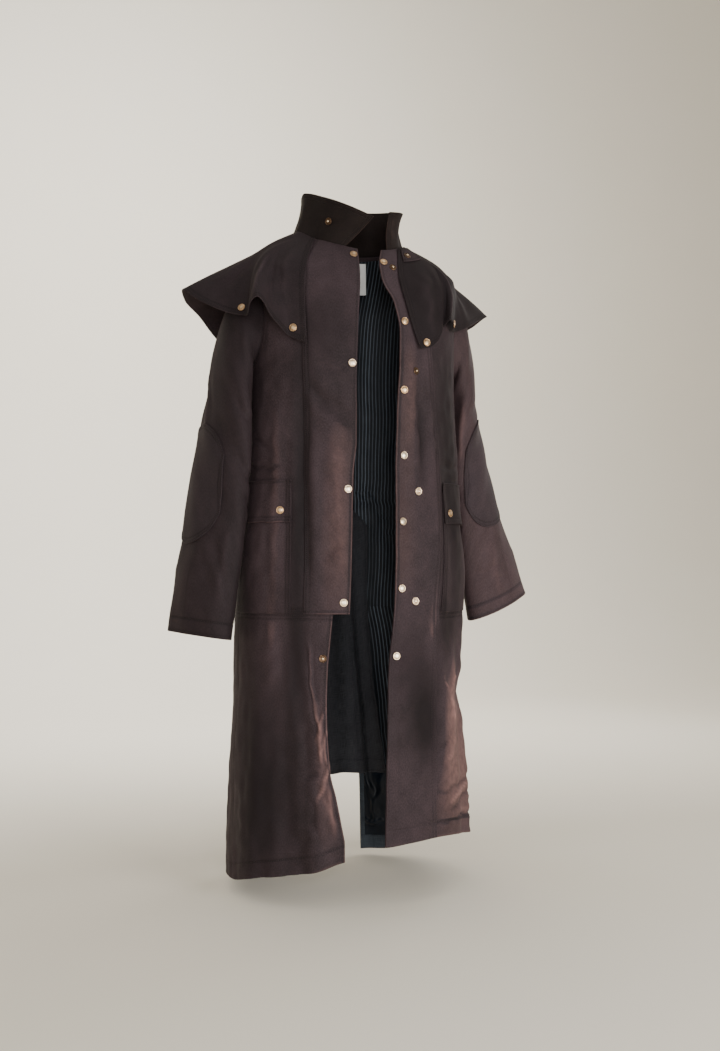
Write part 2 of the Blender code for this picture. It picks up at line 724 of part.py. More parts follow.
def bezier(a, b, c, d, t):
    """Point on a cubic curve."""
    s = 1.0 - t
    return a * s ** 3 + b * 3.0 * s * s * t + c * 3.0 * s * t * t + d * t ** 3


def sleeve_ring(side, angle, down):
    """Point on a ring of the lower sleeve."""
    sign = -1.0 if side == "right" else 1.0
    rows = SLEEVES[side]
    x, y, thin, wide, twist, tilt = (monotone(rows, down, i) for i in range(1, len(SLEEVE_COLUMNS)))
    turn = math.radians(twist)
    out = Vector((sign * math.cos(turn), -math.sin(turn), 0.0))
    ahead = Vector((-sign * math.sin(turn), -math.cos(turn), 0.0))
    away = out * (thin * math.cos(math.radians(angle))) + ahead * (wide * math.sin(math.radians(angle)))
    rise = math.tan(math.radians(tilt)) * away.x * sign
    return Vector((sign * x, y, -down)) + away + Vector((0.0, 0.0, rise))


def sleeve_point(side, angle, along):
    """Middle surface of a sleeve: along runs 0 to 1 over its head and on to the cuff's level."""
    rows = SLEEVES[side]
    sign = -1.0 if side == "right" else 1.0
    first = rows[0][0]
    if along > 1.0:
        return sleeve_ring(side, angle, first + (along - 1.0))
    middle = 0.5 * (SHOULDER_TIP + UNDERARM)
    half = 0.5 * (UNDERARM - SHOULDER_TIP)
    lean = math.radians(angle)
    turn = sign * (SIDE_SEAM - ARMHOLE_TURN * math.sin(lean))
    edge = body_point(turn, middle - half * math.cos(lean))
    centre = Vector((edge.x, 0.0, -middle))
    start = edge + (centre - edge).normalized() * SLEEVE_GAP
    end = sleeve_ring(side, angle, first)
    over = 0.5 + 0.5 * math.cos(lean)
    reach = UNDERARM_REACH + (CAP_REACH - UNDERARM_REACH) * over
    lead = start + Vector((sign * (1.0 - CAP_TUCK * over), 0.0, -CAP_DROOP * over)) * reach
    rise = HEAD_LENGTH * (start.z - end.z) + CAP_FULLNESS * over
    return bezier(start, lead, end + Vector((0.0, 0.0, rise)), end, along)


def make_sleeve(side):
    """Sleeve from the armhole to the cuff."""
    rows = SLEEVES[side]
    sign = -1.0 if side == "right" else 1.0
    length = rows[-1][0] - rows[0][0]
    levels = even(0.0, 1.0, SLEEVE_HEAD_ROWS) + even(1.0, 1.0 + length, SLEEVE_ROWS)[1:]
    angles = even(0.0, 360.0, 2 * ARMHOLE_STEPS)[:-1]
    points = [[sleeve_point(side, angle, level) for angle in angles] for level in levels]
    sheet = grid_sheet(points, Vector((-sign, 0.0, 0.0)), closed=True)
    add_wall("sleeve_" + side, sheet, CLOTH, "cloth")


def make_elbow_patch(side):
    """Rounded patch on a sleeve's elbow, on the sleeve's own columns."""
    first, last, top, bottom = ELBOW_PATCHES[side]
    middle = 0.5 * (top + bottom)
    start = SLEEVES[side][0][0]
    count = round((last - first) * ARMHOLE_STEPS / 180.0)
    points = []
    for share in even(-1.0, 1.0, PATCH_ROWS):
        row = []
        for place in even(-1.0, 1.0, count):
            half = 0.5 * (bottom - top) * math.sqrt(1.0 - PATCH_ROUNDNESS * place * place)
            angle = first + (last - first) * (0.5 + 0.5 * place)
            along = 1.0 + middle + half * share - start
            facing = sleeve_normal(side, angle, along)
            row.append(sleeve_point(side, angle, along) + facing * (CLOTH + PATCH_CLEARANCE))
        points.append(row)
    outward = sleeve_normal(side, 0.5 * (first + last), 1.0 + middle - start)
    add_wall("elbow_patch_" + side, grid_sheet(points, outward), CLOTH, "cloth")


def sleeve_normal(side, angle, along):
    """Direction that faces out of a sleeve below its head."""
    low = max(along, 1.0 + 2.0 * NORMAL_STEP)
    facing = normal_at(lambda a, d: sleeve_point(side, a, d), angle, low, 1.0, NORMAL_STEP)
    return -facing if side == "right" else facing


def clear_of_body(place, clearance):
    """Place moved out of the body form, softly, so that it keeps a clearance."""
    down = -place.z
    for _ in range(4):
        half_width = monotone(BODY, down, BODY_COLUMNS.index("half_width"))
        depth_name, drop_name = ("front", "front_drop") if place.y < 0.0 else ("back", "back_drop")
        depth = monotone(BODY, down, BODY_COLUMNS.index(depth_name))
        across = abs(place.x / half_width) ** SQUARENESS
        along = abs(place.y / depth) ** SQUARENESS
        drop = monotone(BODY, down, BODY_COLUMNS.index(drop_name)) * along / max(across + along, 1e-9)
        down = max(0.0, -place.z - drop)
    ratio = (across + along) ** (1.0 / SQUARENESS)
    limit = 1.0 + clearance / math.hypot(half_width, depth) * math.sqrt(2.0)
    wanted = 0.5 * (ratio + limit + math.hypot(ratio - limit, CAPE_SOFTNESS))
    scale = wanted / ratio
    return Vector((place.x * scale, place.y * scale, place.z))


def cape_point(side, station, share):
    """Middle surface of a cape half, clear of the coat below it."""
    return clear_of_body(cape_line(side, station, share), CAPE_LIFT * ease(share / CAPE_NECK_SHARE))


def stand_at(turn):
    """1 beside and behind the neck, 0 at the throat."""
    away = abs(math.remainder(turn, 360.0))
    return ease((away - CAPE_STAND_FROM) / CAPE_STAND_OVER)


def right_share(turn):
    """1 at the right side, 0 at the left one: the coat sits fuller on the right shoulder."""
    return 0.5 - 0.5 * math.sin(math.radians(turn))


def neck_edge(turn):
    """Upper edge of the cape, which the collar stands on."""
    place = body_point(turn, CAPE_NECK_DOWN)
    fuller = stand_at(turn) * right_share(turn)
    out = Vector((place.x, place.y, 0.0)).normalized() * (CAPE_NECK_FLARE * fuller)
    up = Vector((0.0, 0.0, CAPE_NECK_RISE * fuller))
    return place + body_normal(turn, CAPE_NECK_DOWN) * CAPE_LIFT + out + up


def cape_line(side, station, share):
    """Line of a cape half from the neck over the shoulder to the hem."""
    rows = CAPES[side]
    neck_turn, mid_turn, x, y, z = (monotone(rows, station, i) for i in range(1, len(CAPE_COLUMNS)))
    neck = neck_edge(neck_turn)
    fuller = stand_at(neck_turn) * right_share(neck_turn)
    middle = body_point(mid_turn, CAPE_MID_DOWN) + body_normal(mid_turn, CAPE_MID_DOWN) * CAPE_LIFT
    middle = middle + Vector((0.0, 0.0, CAPE_MID_RISE * fuller))
    hem = Vector((x, y, z))
    first = (middle - neck).length
    second = (hem - middle).length
    knee = first / (first + second)
    bend = ((hem - middle) / (1.0 - knee)).lerp((middle - neck) / knee, 1.0 - knee)
    if share < knee:
        t = share / knee
        lead = (middle - neck).lerp(((middle - neck) * 2.0 - bend * knee), 0.5)
        return bezier(neck, neck + lead / 3.0, middle - bend * (knee / 3.0), middle, t)
    t = (share - knee) / (1.0 - knee)
    span = 1.0 - knee
    tail = (hem - middle) * 1.5 - bend * (0.5 * span)
    return bezier(middle, middle + bend * (span / 3.0), hem - tail / 3.0, hem, t)


def cape_stations():
    """Stations of a cape half's columns, closest where the cloth folds."""
    front = even(0.0, CAPE_FOLD_STATION, CAPE_FRONT_SPANS)
    return front + even(CAPE_FOLD_STATION, CAPE_LAST_STATION, CAPE_BACK_SPANS)[1:]


def make_cape(side):
    """Half of the shoulder cape, with its edge a seam's gap from the centre back."""
    sign = -1.0 if side == "right" else 1.0
    points = []
    for share in even(0.0, 1.0, CAPE_ROWS):
        row = [cape_point(side, station, share) for station in cape_stations()]
        row[-1].x = sign * 0.5 * SEAM_GAP
        points.append(row)
    sheet = grid_sheet(points, Vector((sign, 0.0, 1.0)))
    for normals in sheet.normals:
        normals[-1].x = 0.0
        normals[-1].normalize()
    add_wall("cape_" + side, sheet, CLOTH, "cloth")


def cape_normal(side, station, share):
    """Direction that faces out of a cape half."""
    low = min(max(share, 0.01), 0.99)
    facing = normal_at(lambda a, d: cape_point(side, a, d), max(station, 0.02), low, 0.01, 0.005)
    return facing if side == "right" else -facing


def collar_point(turn, share):
    """Middle surface of the collar, which stands on the neck seam and the edge of the cape."""
    rows = [(-row[0],) + row[1:] for row in COLLAR]
    x, y, z = (monotone(rows, -turn, i) for i in range(1, len(COLLAR_COLUMNS)))
    base = body_point(turn, 0.0)
    out = Vector((base.x, base.y, 0.0)).normalized()
    base = base - out * COLLAR_GAP + Vector((0.0, 0.0, COLLAR_RISE))
    base = base.lerp(neck_edge(turn) + Vector((0.0, 0.0, COLLAR_SEAT)), stand_at(turn))
    top = Vector((x, y, z))
    waist = 4.0 * COLLAR_WAIST * share * (1.0 - share)
    return base.lerp(top, share) - out * waist


def make_collar():
    """Tall stand collar, open at the throat."""
    turns = even(COLLAR[0][0], COLLAR[-1][0], COLLAR_SPANS)
    points = [[collar_point(turn, share) for turn in turns] for share in even(0.0, 1.0, COLLAR_ROWS)]
    add_wall("collar", grid_sheet(points, Vector((0.0, 1.0, 0.0))), CLOTH, "collar")


def collar_normal(turn, share):
    """Direction that faces out of the collar."""
    return normal_at(collar_point, turn, share, 0.5, 0.01)


def make_throat_tab():
    """Short strap that lies on the left shoulder of the cape."""
    points = []
    for share in even(*TAB_SHARES, TAB_ROWS):
        row = []
        for station in even(*TAB_STATIONS, TAB_SPANS):
            facing = cape_normal("left", station, share)
            row.append(cape_point("left", station, share) + facing * TAB_LIFT)
        points.append(row)
    add_wall("throat_tab", grid_sheet(points, Vector((1.0, 0.0, 1.0))), CLOTH, "cloth")


def make_label():
    """Blank label that hangs straight down from its upper edge, which is on the lining."""
    lift = -(0.5 * CLOTH + SEAM_GAP + LINING + LABEL_CLEARANCE + 0.5 * LABEL)
    reach = turn_at(LABEL_HALF_WIDTH, LABEL_TOP)
    turns = even(180.0 - reach, 180.0 + reach, LABEL_SPANS)
    top = [body_point(turn, LABEL_TOP) + body_normal(turn, LABEL_TOP) * lift for turn in turns]
    drops = even(0.0, LABEL_LENGTH, LABEL_ROWS)
    points = [[place - Vector((0.0, 0.0, drop)) for place in top] for drop in drops]
    add_wall("label", grid_sheet(points, Vector((0.0, 1.0, 0.0))), LABEL, "label")


def make_snaps():
    """All the snaps, each on the outer face of the layer that carries it."""
    layer = CLOTH + SEAM_GAP
    face = 0.5 * CLOTH
    outer = {"panel": face, "strip": face + layer, "flap": face + 2.0 * layer}
    for name, x, down, carrier in FRONT_SNAPS:
        turn = turn_at(x, down)
        facing = body_normal(turn, down)
        add_snap(name, body_point(turn, down) + facing * outer[carrier], facing)
    for name, side, station, share in CAPE_SNAPS:
        facing = cape_normal(side, station, share)
        add_snap(name, cape_point(side, station, share) + facing * face, facing)
    facing = collar_normal(*COLLAR_SNAP)
    add_snap("snap_collar", collar_point(*COLLAR_SNAP) + facing * face, facing)
    facing = cape_normal("left", *TAB_SNAP)
    add_snap("snap_tab", cape_point("left", *TAB_SNAP) + facing * (TAB_LIFT + face), facing)


def main():
    for old in list(bpy.data.objects):
        bpy.data.objects.remove(old, do_unlink=True)
    for side in ("right", "left"):
        make_front(side)
        make_sleeve(side)
        make_elbow_patch(side)
        make_cape(side)
    make_back()
    make_skirts()
    make_strips()
    make_fantail()
    make_collar()
    make_throat_tab()
    make_label()
    make_snaps()


main()
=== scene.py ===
"""Looks of a full-length riding coat with a shoulder cape: creased cloth shells, stitching and snaps.

Metres, +Z up. The coat faces -Y and the wearer's left is +X. A turn is an angle round the body in
degrees: 0 at the centre front, +90 at the wearer's left side, 180 at the centre back. A down is a
distance below the neck seam. Every shell lies on the form of the solid that it replaces.
"""
import math
from functools import partial

import bpy
import numpy as np
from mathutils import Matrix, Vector


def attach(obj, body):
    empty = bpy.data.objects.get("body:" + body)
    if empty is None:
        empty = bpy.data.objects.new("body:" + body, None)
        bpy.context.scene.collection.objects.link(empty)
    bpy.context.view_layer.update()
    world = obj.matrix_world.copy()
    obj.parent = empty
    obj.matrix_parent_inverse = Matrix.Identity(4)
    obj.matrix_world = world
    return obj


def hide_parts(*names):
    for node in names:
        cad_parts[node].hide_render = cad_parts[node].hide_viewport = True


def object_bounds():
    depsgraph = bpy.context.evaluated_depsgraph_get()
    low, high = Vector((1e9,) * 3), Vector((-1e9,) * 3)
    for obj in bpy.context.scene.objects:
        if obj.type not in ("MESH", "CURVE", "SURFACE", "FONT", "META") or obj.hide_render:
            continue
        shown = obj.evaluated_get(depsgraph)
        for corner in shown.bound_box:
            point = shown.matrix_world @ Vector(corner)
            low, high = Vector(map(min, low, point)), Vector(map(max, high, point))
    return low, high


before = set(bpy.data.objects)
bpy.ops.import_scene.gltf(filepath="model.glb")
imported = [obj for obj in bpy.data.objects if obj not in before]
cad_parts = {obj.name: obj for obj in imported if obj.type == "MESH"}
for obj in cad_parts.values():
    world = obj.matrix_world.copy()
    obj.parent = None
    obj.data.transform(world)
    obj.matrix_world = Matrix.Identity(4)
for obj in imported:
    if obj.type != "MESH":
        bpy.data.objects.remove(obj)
CAD_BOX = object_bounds()

# Walls and gaps
CLOTH = 0.0016
LINING = 0.0010
LABEL = 0.0006
SEAM_GAP = 0.0003
LAYER = CLOTH + SEAM_GAP
LINING_LIFT = -(0.5 * CLOTH + SEAM_GAP + 0.5 * LINING)
SLEEVE_GAP = 0.0019
COLLAR_GAP = 0.0020

# Levels below the neck seam, and angles round the body
SHOULDER_TIP = 0.062
UNDERARM = 0.262
FLAP_TOP = 0.483
POCKET_TOP = 0.503
FLAP_BOTTOM = 0.563
SKIRT_SEAM = 0.735
SIDE_SEAM = 90.0
ARMHOLE_TURN = 21.0
FRONT_END = SKIRT_SEAM - 0.5 * SEAM_GAP
ARMHOLE_MIDDLE = 0.5 * (SHOULDER_TIP + UNDERARM)
ARMHOLE_HALF = 0.5 * (UNDERARM - SHOULDER_TIP)

# Sides, directions, and how square the body's ovals are
SIGNS = {"right": -1.0, "left": 1.0}
BACKWARDS = (0.0, 1.0, 0.0)
FLAT = (1.0, 1.0, 0.0)
SQUARENESS = 2.2

# Body rings. Columns: down, front_drop, back_drop, half_width, front, back
BODY = (
    (0.000, 0.030, 0.000, 0.100, 0.090, 0.090),
    (0.030, 0.045, 0.010, 0.158, 0.120, 0.117),
    (0.062, 0.055, 0.020, 0.207, 0.140, 0.138),
    (0.100, 0.045, 0.015, 0.212, 0.150, 0.150),
    (0.200, 0.015, 0.000, 0.212, 0.158, 0.158),
    (0.260, 0.000, 0.000, 0.2125, 0.160, 0.160),
    (0.440, 0.000, 0.000, 0.217, 0.162, 0.165),
    (0.540, 0.000, 0.000, 0.221, 0.165, 0.170),
    (0.610, 0.000, 0.000, 0.228, 0.168, 0.175),
    (0.735, 0.000, 0.000, 0.2345, 0.171, 0.180),
    (0.900, 0.000, 0.000, 0.2375, 0.176, 0.185),
    (1.000, 0.000, 0.000, 0.2435, 0.180, 0.190),
    (1.100, 0.000, 0.000, 0.2475, 0.183, 0.195),
    (1.300, 0.000, 0.000, 0.252, 0.188, 0.200),
)

# Ends of the large folds that fade, as shares of their length
FOLD_FADE_IN = 0.40
FOLD_FADE_OUT = 0.25
# Large folds of the body cloth. Columns: turn_top, turn_bottom, down_from, down_to, half_turn, depth
FOLDS = (
    (-40.0, -37.0, 0.20, 0.72, 7.0, -0.006),
    (-24.0, -30.0, 0.74, 1.50, 9.0, 0.010),
    (-45.0, -44.0, 0.74, 1.60, 9.0, -0.007),
    (-62.0, -66.0, 0.72, 1.60, 11.0, 0.008),
    (34.0, 31.0, 0.26, 1.30, 10.0, 0.006),
    (52.0, 50.0, 0.66, 1.60, 10.0, -0.007),
    (74.0, 72.0, 0.62, 1.24, 17.0, -0.014),
    (125.0, 122.0, 0.40, 1.70, 13.0, 0.010),
    (-125.0, -122.0, 0.40, 1.70, 13.0, 0.010),
    (148.0, 146.0, 0.60, 1.70, 11.0, -0.008),
    (-148.0, -146.0, 0.60, 1.70, 11.0, -0.008),
)

# Metres for a degree round the body
ARC = 0.0035
# Creases of the body cloth, in turns and downs: a negative depth is a trough. Above zero the mark is worn
# pale cloth and painted highlight on ridges; below zero it is painted shade in troughs. Columns: half_width,
# depth, wear_light_and_shade, path
CREASES = (
    # Right front
    (0.011, -0.0058, -0.35, ((-39, 0.290), (-28, 0.335), (-19, 0.366), (-11, 0.390))),
    (0.009, -0.0030, -0.15, ((-25, 0.322), (-17, 0.350), (-11, 0.366))),
    (0.010, -0.0030, 0.00, ((-41, 0.36), (-38, 0.50), (-35, 0.60), (-33, 0.74))),
    (0.014, 0.0028, 0.07, ((-23, 0.36), (-19, 0.52), (-16, 0.72))),
    (0.012, 0.0028, 0.08, ((-58, 0.31), (-56, 0.50), (-53, 0.73))),
    (0.005, -0.0034, -0.30, ((-88, 0.447), (-66, 0.462), (-48, 0.456))),
    (0.006, -0.0026, -0.15, ((-84, 0.392), (-70, 0.410), (-58, 0.428))),
    (0.006, -0.0018, 0.00, ((-14, 0.268), (-24, 0.276), (-33, 0.270))),
    (0.008, -0.0020, 0.00, ((-16, 0.600), (-25, 0.625), (-31, 0.640))),
    # Left front
    (0.010, -0.0055, -0.25, ((20, 0.30), (22, 0.38), (23.5, 0.43), (22, 0.495))),
    (0.012, 0.0030, 0.05, ((15.8, 0.19), (15.5, 0.30), (15, 0.41))),
    (0.008, 0.0014, 0.24, ((31, 0.48), (30, 0.62), (27, 0.74), (25, 0.85))),
    (0.003, -0.0006, -0.18, ((8.2, 0.80), (7.4, 0.86), (6.0, 1.00), (4.8, 1.15))),
    (0.003, 0.0012, 0.14, ((26, 0.21), (28.5, 0.34), (30.5, 0.50))),
    (0.012, -0.0030, 0.00, ((10, 0.45), (13, 0.56), (12, 0.68))),
    (0.007, -0.0022, 0.00, ((34, 0.440), (52, 0.452), (72, 0.447))),
    (0.008, -0.0020, 0.00, ((26, 0.690), (16, 0.700), (9, 0.718))),
    # Right skirt
    (0.0030, 0.0026, 0.32, ((-33.5, 0.76), (-32.5, 0.84), (-31, 0.884), (-29, 0.925))),
    (0.0032, 0.0030, 0.40, ((-30.5, 0.89), (-27.8, 0.944), (-27, 0.98), (-26.5, 1.03))),
    (0.0028, 0.0024, 0.34, ((-24.5, 0.90), (-26, 0.925), (-28, 0.95), (-29.5, 0.98))),
    (0.0028, 0.0022, 0.30, ((-24.2, 0.95), (-25.5, 0.975), (-27, 1.00))),
    (0.0028, 0.0022, 0.36, ((-24.8, 0.95), (-24.4, 1.00), (-23.8, 1.05))),
    (0.0028, 0.0024, 0.38, ((-23.4, 1.015), (-25.5, 1.048), (-28.5, 1.09))),
    (0.0028, 0.0020, 0.24, ((-24.5, 1.045), (-23, 1.08), (-22, 1.13))),
    (0.010, -0.0040, 0.00, ((-40, 0.79), (-38, 0.90), (-35, 0.97), (-33, 1.05))),
    (0.005, -0.0036, -0.30, ((-36, 1.043), (-31, 1.036), (-27, 1.033))),
    (0.006, -0.0030, 0.00, ((-29, 1.045), (-24, 1.09), (-19, 1.13))),
    (0.006, -0.0026, 0.00, ((-31, 1.065), (-29, 1.12), (-27, 1.18))),
    (0.005, 0.0020, 0.16, ((-27, 1.06), (-23, 1.10), (-20, 1.16))),
    (0.014, 0.0030, 0.10, ((-55, 0.735), (-55, 0.80), (-54.5, 0.89))),
    (0.012, -0.0040, 0.00, ((-36, 1.13), (-37, 1.26))),
    (0.013, 0.0040, 0.05, ((-48, 1.11), (-47, 1.27))),
    (0.012, -0.0040, 0.00, ((-60, 1.12), (-60, 1.28))),
    (0.013, 0.0035, 0.10, ((-74, 1.08), (-73, 1.30))),
    # Left skirt
    (0.016, 0.0036, 0.30, ((40, 0.76), (43, 0.82), (48, 0.90), (51, 0.98))),
    (0.034, -0.0045, 0.00, ((20.5, 0.86), (20.5, 0.95), (20, 1.04))),
    (0.006, -0.0028, -0.22, ((72, 1.066), (52, 1.073), (37, 1.078), (20, 1.084))),
    (0.005, 0.0028, 0.42, ((66, 1.070), (50, 1.085), (42, 1.096), (30, 1.113))),
    (0.005, -0.0028, -0.24, ((68, 1.092), (52, 1.102), (43, 1.113), (31, 1.126))),
    (0.0035, -0.0030, -0.34, ((80, 1.146), (53, 1.140), (34, 1.139), (18, 1.142))),
    (0.005, 0.0018, 0.22, ((66, 1.130), (40, 1.128))),
    (0.024, -0.0065, 0.00, ((118, 0.903), (76, 0.901), (38, 0.898))),
    (0.0035, 0.0022, 0.40, ((30, 0.845), (34, 0.868), (40, 0.893))),
    (0.0035, 0.0022, 0.45, ((50, 0.850), (45, 0.872), (40, 0.896))),
    (0.005, 0.0024, 0.45, ((40, 0.890), (43, 0.920), (46, 0.960))),
    (0.005, -0.0030, -0.20, ((40, 0.955), (33, 0.990), (24, 1.010))),
    (0.005, 0.0024, 0.30, ((46, 0.970), (38, 1.005), (30, 1.035))),
    # Back and sides
    (0.014, -0.0040, 0.00, ((116, 0.29), (126, 0.35), (142, 0.43))),
    (0.014, -0.0040, 0.00, ((-115, 0.31), (-128, 0.38), (-139, 0.46))),
    (0.010, -0.0030, 0.00, ((95, 0.32), (108, 0.36), (121, 0.41))),
    (0.010, -0.0030, 0.00, ((-95, 0.34), (-106, 0.37), (-122, 0.44))),
    (0.010, -0.0025, 0.00, ((147, 0.497), (175, 0.515), (199, 0.505))),
    (0.009, -0.0020, 0.00, ((158, 0.596), (186, 0.612), (209, 0.600))),
    (0.012, 0.0030, 0.04, ((176, 0.30), (178, 0.42), (177, 0.60))),
    (0.014, -0.0040, 0.00, ((107, 0.79), (110, 0.95), (112, 1.22))),
    (0.014, -0.0040, 0.00, ((-108, 0.82), (-109, 1.02), (-111, 1.24))),
    (0.010, 0.0030, 0.08, ((138, 0.85), (141, 1.02), (140, 1.14))),
    (0.010, 0.0030, 0.08, ((-137, 0.88), (-139, 1.03), (-141, 1.19))),
    (0.008, -0.0030, 0.00, ((-150, 1.16), (-128, 1.13), (-112, 1.15))),
    (0.008, -0.0030, 0.00, ((104, 1.13), (124, 1.15), (140, 1.13))),
)
# A crease's lips and its band of wear with painted light and shade, in half widths, and its fading ends, as a
# share of its path
CREASE_LIP = 0.32
CREASE_LIP_PLACE = 2.0
CREASE_LIP_WIDTH = 0.9
CREASE_LIGHT_AND_SHADE_WIDTH = 0.7
CREASE_FADE = 0.30

# Small uneven waves. Columns: seed, height, length, stretch along the cloth
WANDER_ACROSS = (61, 0.0022, 0.05, 1.0)
WANDER_ALONG = (62, 0.0022, 0.05, 1.0)
BODY_WAVES = ((11, 0.0013, 0.105, 2.0), (12, 0.0005, 0.034, 1.7))
SLEEVE_WAVE = (21, 0.0014, 0.085, 1.4)
FANTAIL_WAVE = (31, 0.0016, 0.06, 3.0)
CAPE_WAVES = {"right": (41, 0.0011, 0.075, 1.6), "left": (42, 0.0011, 0.075, 1.6)}
COLLAR_WAVE = (51, 0.0007, 0.05, 1.0)
RIPPLE_WAVES = 18
RIPPLE_PITCHES = (0.7, 1.4)
# The body's waves are weak under the cape, and the other cloths' waves start softly at their seams
CALM_SHARE = 0.25
CALM_TO = 0.12
CALM_OVER = 0.22
SLEEVE_CALM = 0.6
CAPE_CALM = 0.3
COLLAR_CALM = 0.25

# Broad hollows of the body cloth. Columns: turn, down, half_turn, half_down, depth
HOLLOWS = ((62.0, 0.90, 34.0, 0.11, -0.0080),)

# Broad areas of the body cloth made paler or darker. Above zero: worn pale cloth, with painted light on the
# left skirt's lit side; below zero: painted shade in troughs and folds, towards the sides and back, and under
# the
# cape. Columns: turn, down, half_turn, half_down, wear_light_and_shade
WEAR_LIGHT_AND_SHADE_AREAS = (
    (62.0, 0.93, 16.0, 0.18, 0.34),
    (43.0, 0.91, 6.0, 0.08, 0.46),
    (34.0, 0.96, 6.5, 0.12, 0.40),
    (38.0, 0.775, 8.0, 0.05, -0.55),
    (46.0, 1.03, 13.0, 0.09, 0.26),
    (48.0, 1.10, 18.0, 0.07, 0.16),
    (26.0, 1.03, 12.0, 0.10, 0.06),
    (20.0, 0.90, 20.0, 0.12, -0.30),
    (-26.0, 1.03, 7.0, 0.15, 0.17),
    (-20.0, 0.58, 8.0, 0.16, 0.11),
    (-18.0, 0.40, 5.0, 0.08, 0.08),
    (14.0, 0.34, 6.0, 0.13, 0.11),
    (9.0, 0.60, 8.0, 0.12, 0.08),
    (24.5, 0.785, 4.6, 0.055, 0.34),
    (-56.0, 0.76, 7.0, 0.08, 0.16),
    (-40.0, 0.55, 6.0, 0.30, -1.00),
    (-86.0, 0.58, 7.0, 0.25, -0.30),
    (-58.0, 1.08, 20.0, 0.22, -0.95),
    (-26.0, 0.17, 20.0, 0.13, -0.62),
    (14.0, 0.83, 16.0, 0.07, -0.45),
    (-76.0, 0.90, 12.0, 0.20, -0.40),
    (-40.0, 0.84, 6.0, 0.10, -0.40),
    (21.0, 0.955, 9.5, 0.08, -0.90),
    (22.5, 0.40, 3.0, 0.07, -0.60),
    (50.0, 0.48, 16.0, 0.30, -1.15),
    (33.0, 0.72, 3.0, 0.05, -0.40),
    (-140.0, 1.05, 14.0, 0.12, 0.08),
    (140.0, 1.02, 14.0, 0.12, 0.08),
    (176.0, 0.40, 22.0, 0.14, 0.05),
    (-112.0, 0.95, 10.0, 0.24, -0.55),
    (112.0, 0.95, 10.0, 0.24, -0.55),
    (122.0, 0.40, 14.0, 0.12, -0.35),
    (-122.0, 0.42, 14.0, 0.12, -0.35),
)

# Front edges, strip seams and the vent's edge. Columns: down, x
RIGHT_EDGE = (
    (0.000, -0.020), (0.088, -0.037), (0.176, -0.043), (0.300, -0.047), (0.410, -0.048),
    (0.470, -0.054), (0.610, -0.059), (0.735, -0.064),
)
RIGHT_SKIRT_EDGE = (
    (0.735, -0.095), (0.790, -0.100), (0.850, -0.105), (0.950, -0.108), (1.060, -0.103),
    (1.110, -0.094), (1.210, -0.078),
)
LEFT_EDGE = (
    (0.000, 0.030), (0.021, 0.018), (0.040, 0.016), (0.077, 0.030), (0.116, 0.037),
    (0.168, 0.043), (0.240, 0.042), (0.340, 0.036), (0.520, 0.031), (0.650, 0.029),
    (0.735, 0.024), (0.850, 0.013), (1.010, 0.006), (1.180, 0.002),
)
RIGHT_SEAM = ((0.000, -0.092), (0.045, -0.136), (0.120, -0.144), (0.330, -0.141), (0.735, -0.145))
LEFT_SEAM = (
    (0.000, 0.074), (0.120, 0.105), (0.240, 0.115), (0.450, 0.131), (0.530, 0.133),
    (0.630, 0.127), (0.735, 0.121), (1.180, 0.112),
)
FRONT_LINES = {"right": (RIGHT_EDGE, RIGHT_SEAM), "left": (LEFT_EDGE, LEFT_SEAM)}
VENT_EDGE = ((0.735, 0.004), (0.900, 0.050), (1.090, 0.086), (1.270, 0.092))
# Linings, as shares of the left back skirt and of the back, and the level of the back lining's top
VENT_BAND = 0.035
STRIPES_END = 0.650
SATIN_START = 0.656
SATIN_END = 0.945
BACK_MARGIN = 1.0 / 16.0
LINING_TOP = 0.004
# Fantail, which swings inwards below a level
FANTAIL_CLEARANCE = 0.0010
FANTAIL_SWING = 0.010
FANTAIL_SWING_FROM = 0.56
FANTAIL_SWING_OVER = 0.35
# Half of the fantail. Columns: down, x
FANTAIL_EDGE = (
    (0.500, 0.030), (0.527, 0.064), (0.564, 0.095), (0.735, 0.098), (0.810, 0.105),
    (0.970, 0.128), (1.098, 0.145),
)
# Pleats of the fantail. Columns: share across, half_width as a share, depth towards the back, tone (painted
# shade in the pleats' hollows below zero, painted light on the panels between above zero)
FANTAIL_PLEATS = (
    (-0.86, 0.09, -0.0015, 0.35), (-0.66, 0.030, 0.0085, -1.00), (-0.58, 0.045, -0.0040, 0.00),
    (-0.46, 0.09, -0.0010, 0.40), (-0.28, 0.12, 0.0030, -0.45), (-0.06, 0.10, -0.0025, 0.15),
    (0.24, 0.14, 0.0030, -0.45), (0.47, 0.09, -0.0010, 0.40), (0.58, 0.045, -0.0040, 0.00),
    (0.66, 0.030, 0.0085, -1.00), (0.86, 0.09, -0.0015, 0.35),
)
# Gathers of the back's lining above the fantail, in turns and downs. Columns: half_width, depth,
# wear_light_and_shade, path
LINING_FOLDS = (
    (0.0040, -0.0040, 0.0, ((170, 0.478), (164, 0.492), (156, 0.516))),
    (0.0040, -0.0036, 0.0, ((167, 0.455), (158, 0.486), (148, 0.530))),
    (0.0045, -0.0040, 0.0, ((152, 0.510), (147, 0.545), (145, 0.600))),
    (0.0040, -0.0036, 0.0, ((191, 0.470), (199, 0.494), (206, 0.518))),
    (0.0045, -0.0038, 0.0, ((209, 0.515), (213, 0.550), (214, 0.610))),
)
# Folds of the satin, in turns and downs, all towards the inside. Columns: half_width, depth,
# wear_light_and_shade, path
SATIN_FOLDS = (
    (0.007, -0.0060, 0.0, ((160, 1.085), (155, 1.140), (151, 1.235))),
    (0.006, -0.0050, 0.0, ((148, 1.090), (151, 1.160), (157, 1.238))),
    (0.007, -0.0055, 0.0, ((164, 1.190), (156, 1.212), (146, 1.205))),
    (0.008, -0.0050, 0.0, ((143, 1.100), (141, 1.170), (145, 1.238))),
    (0.009, -0.0050, 0.0, ((128, 1.090), (124, 1.160), (130, 1.235))),
    (0.008, -0.0045, 0.0, ((108, 1.090), (113, 1.160), (106, 1.230))),
)

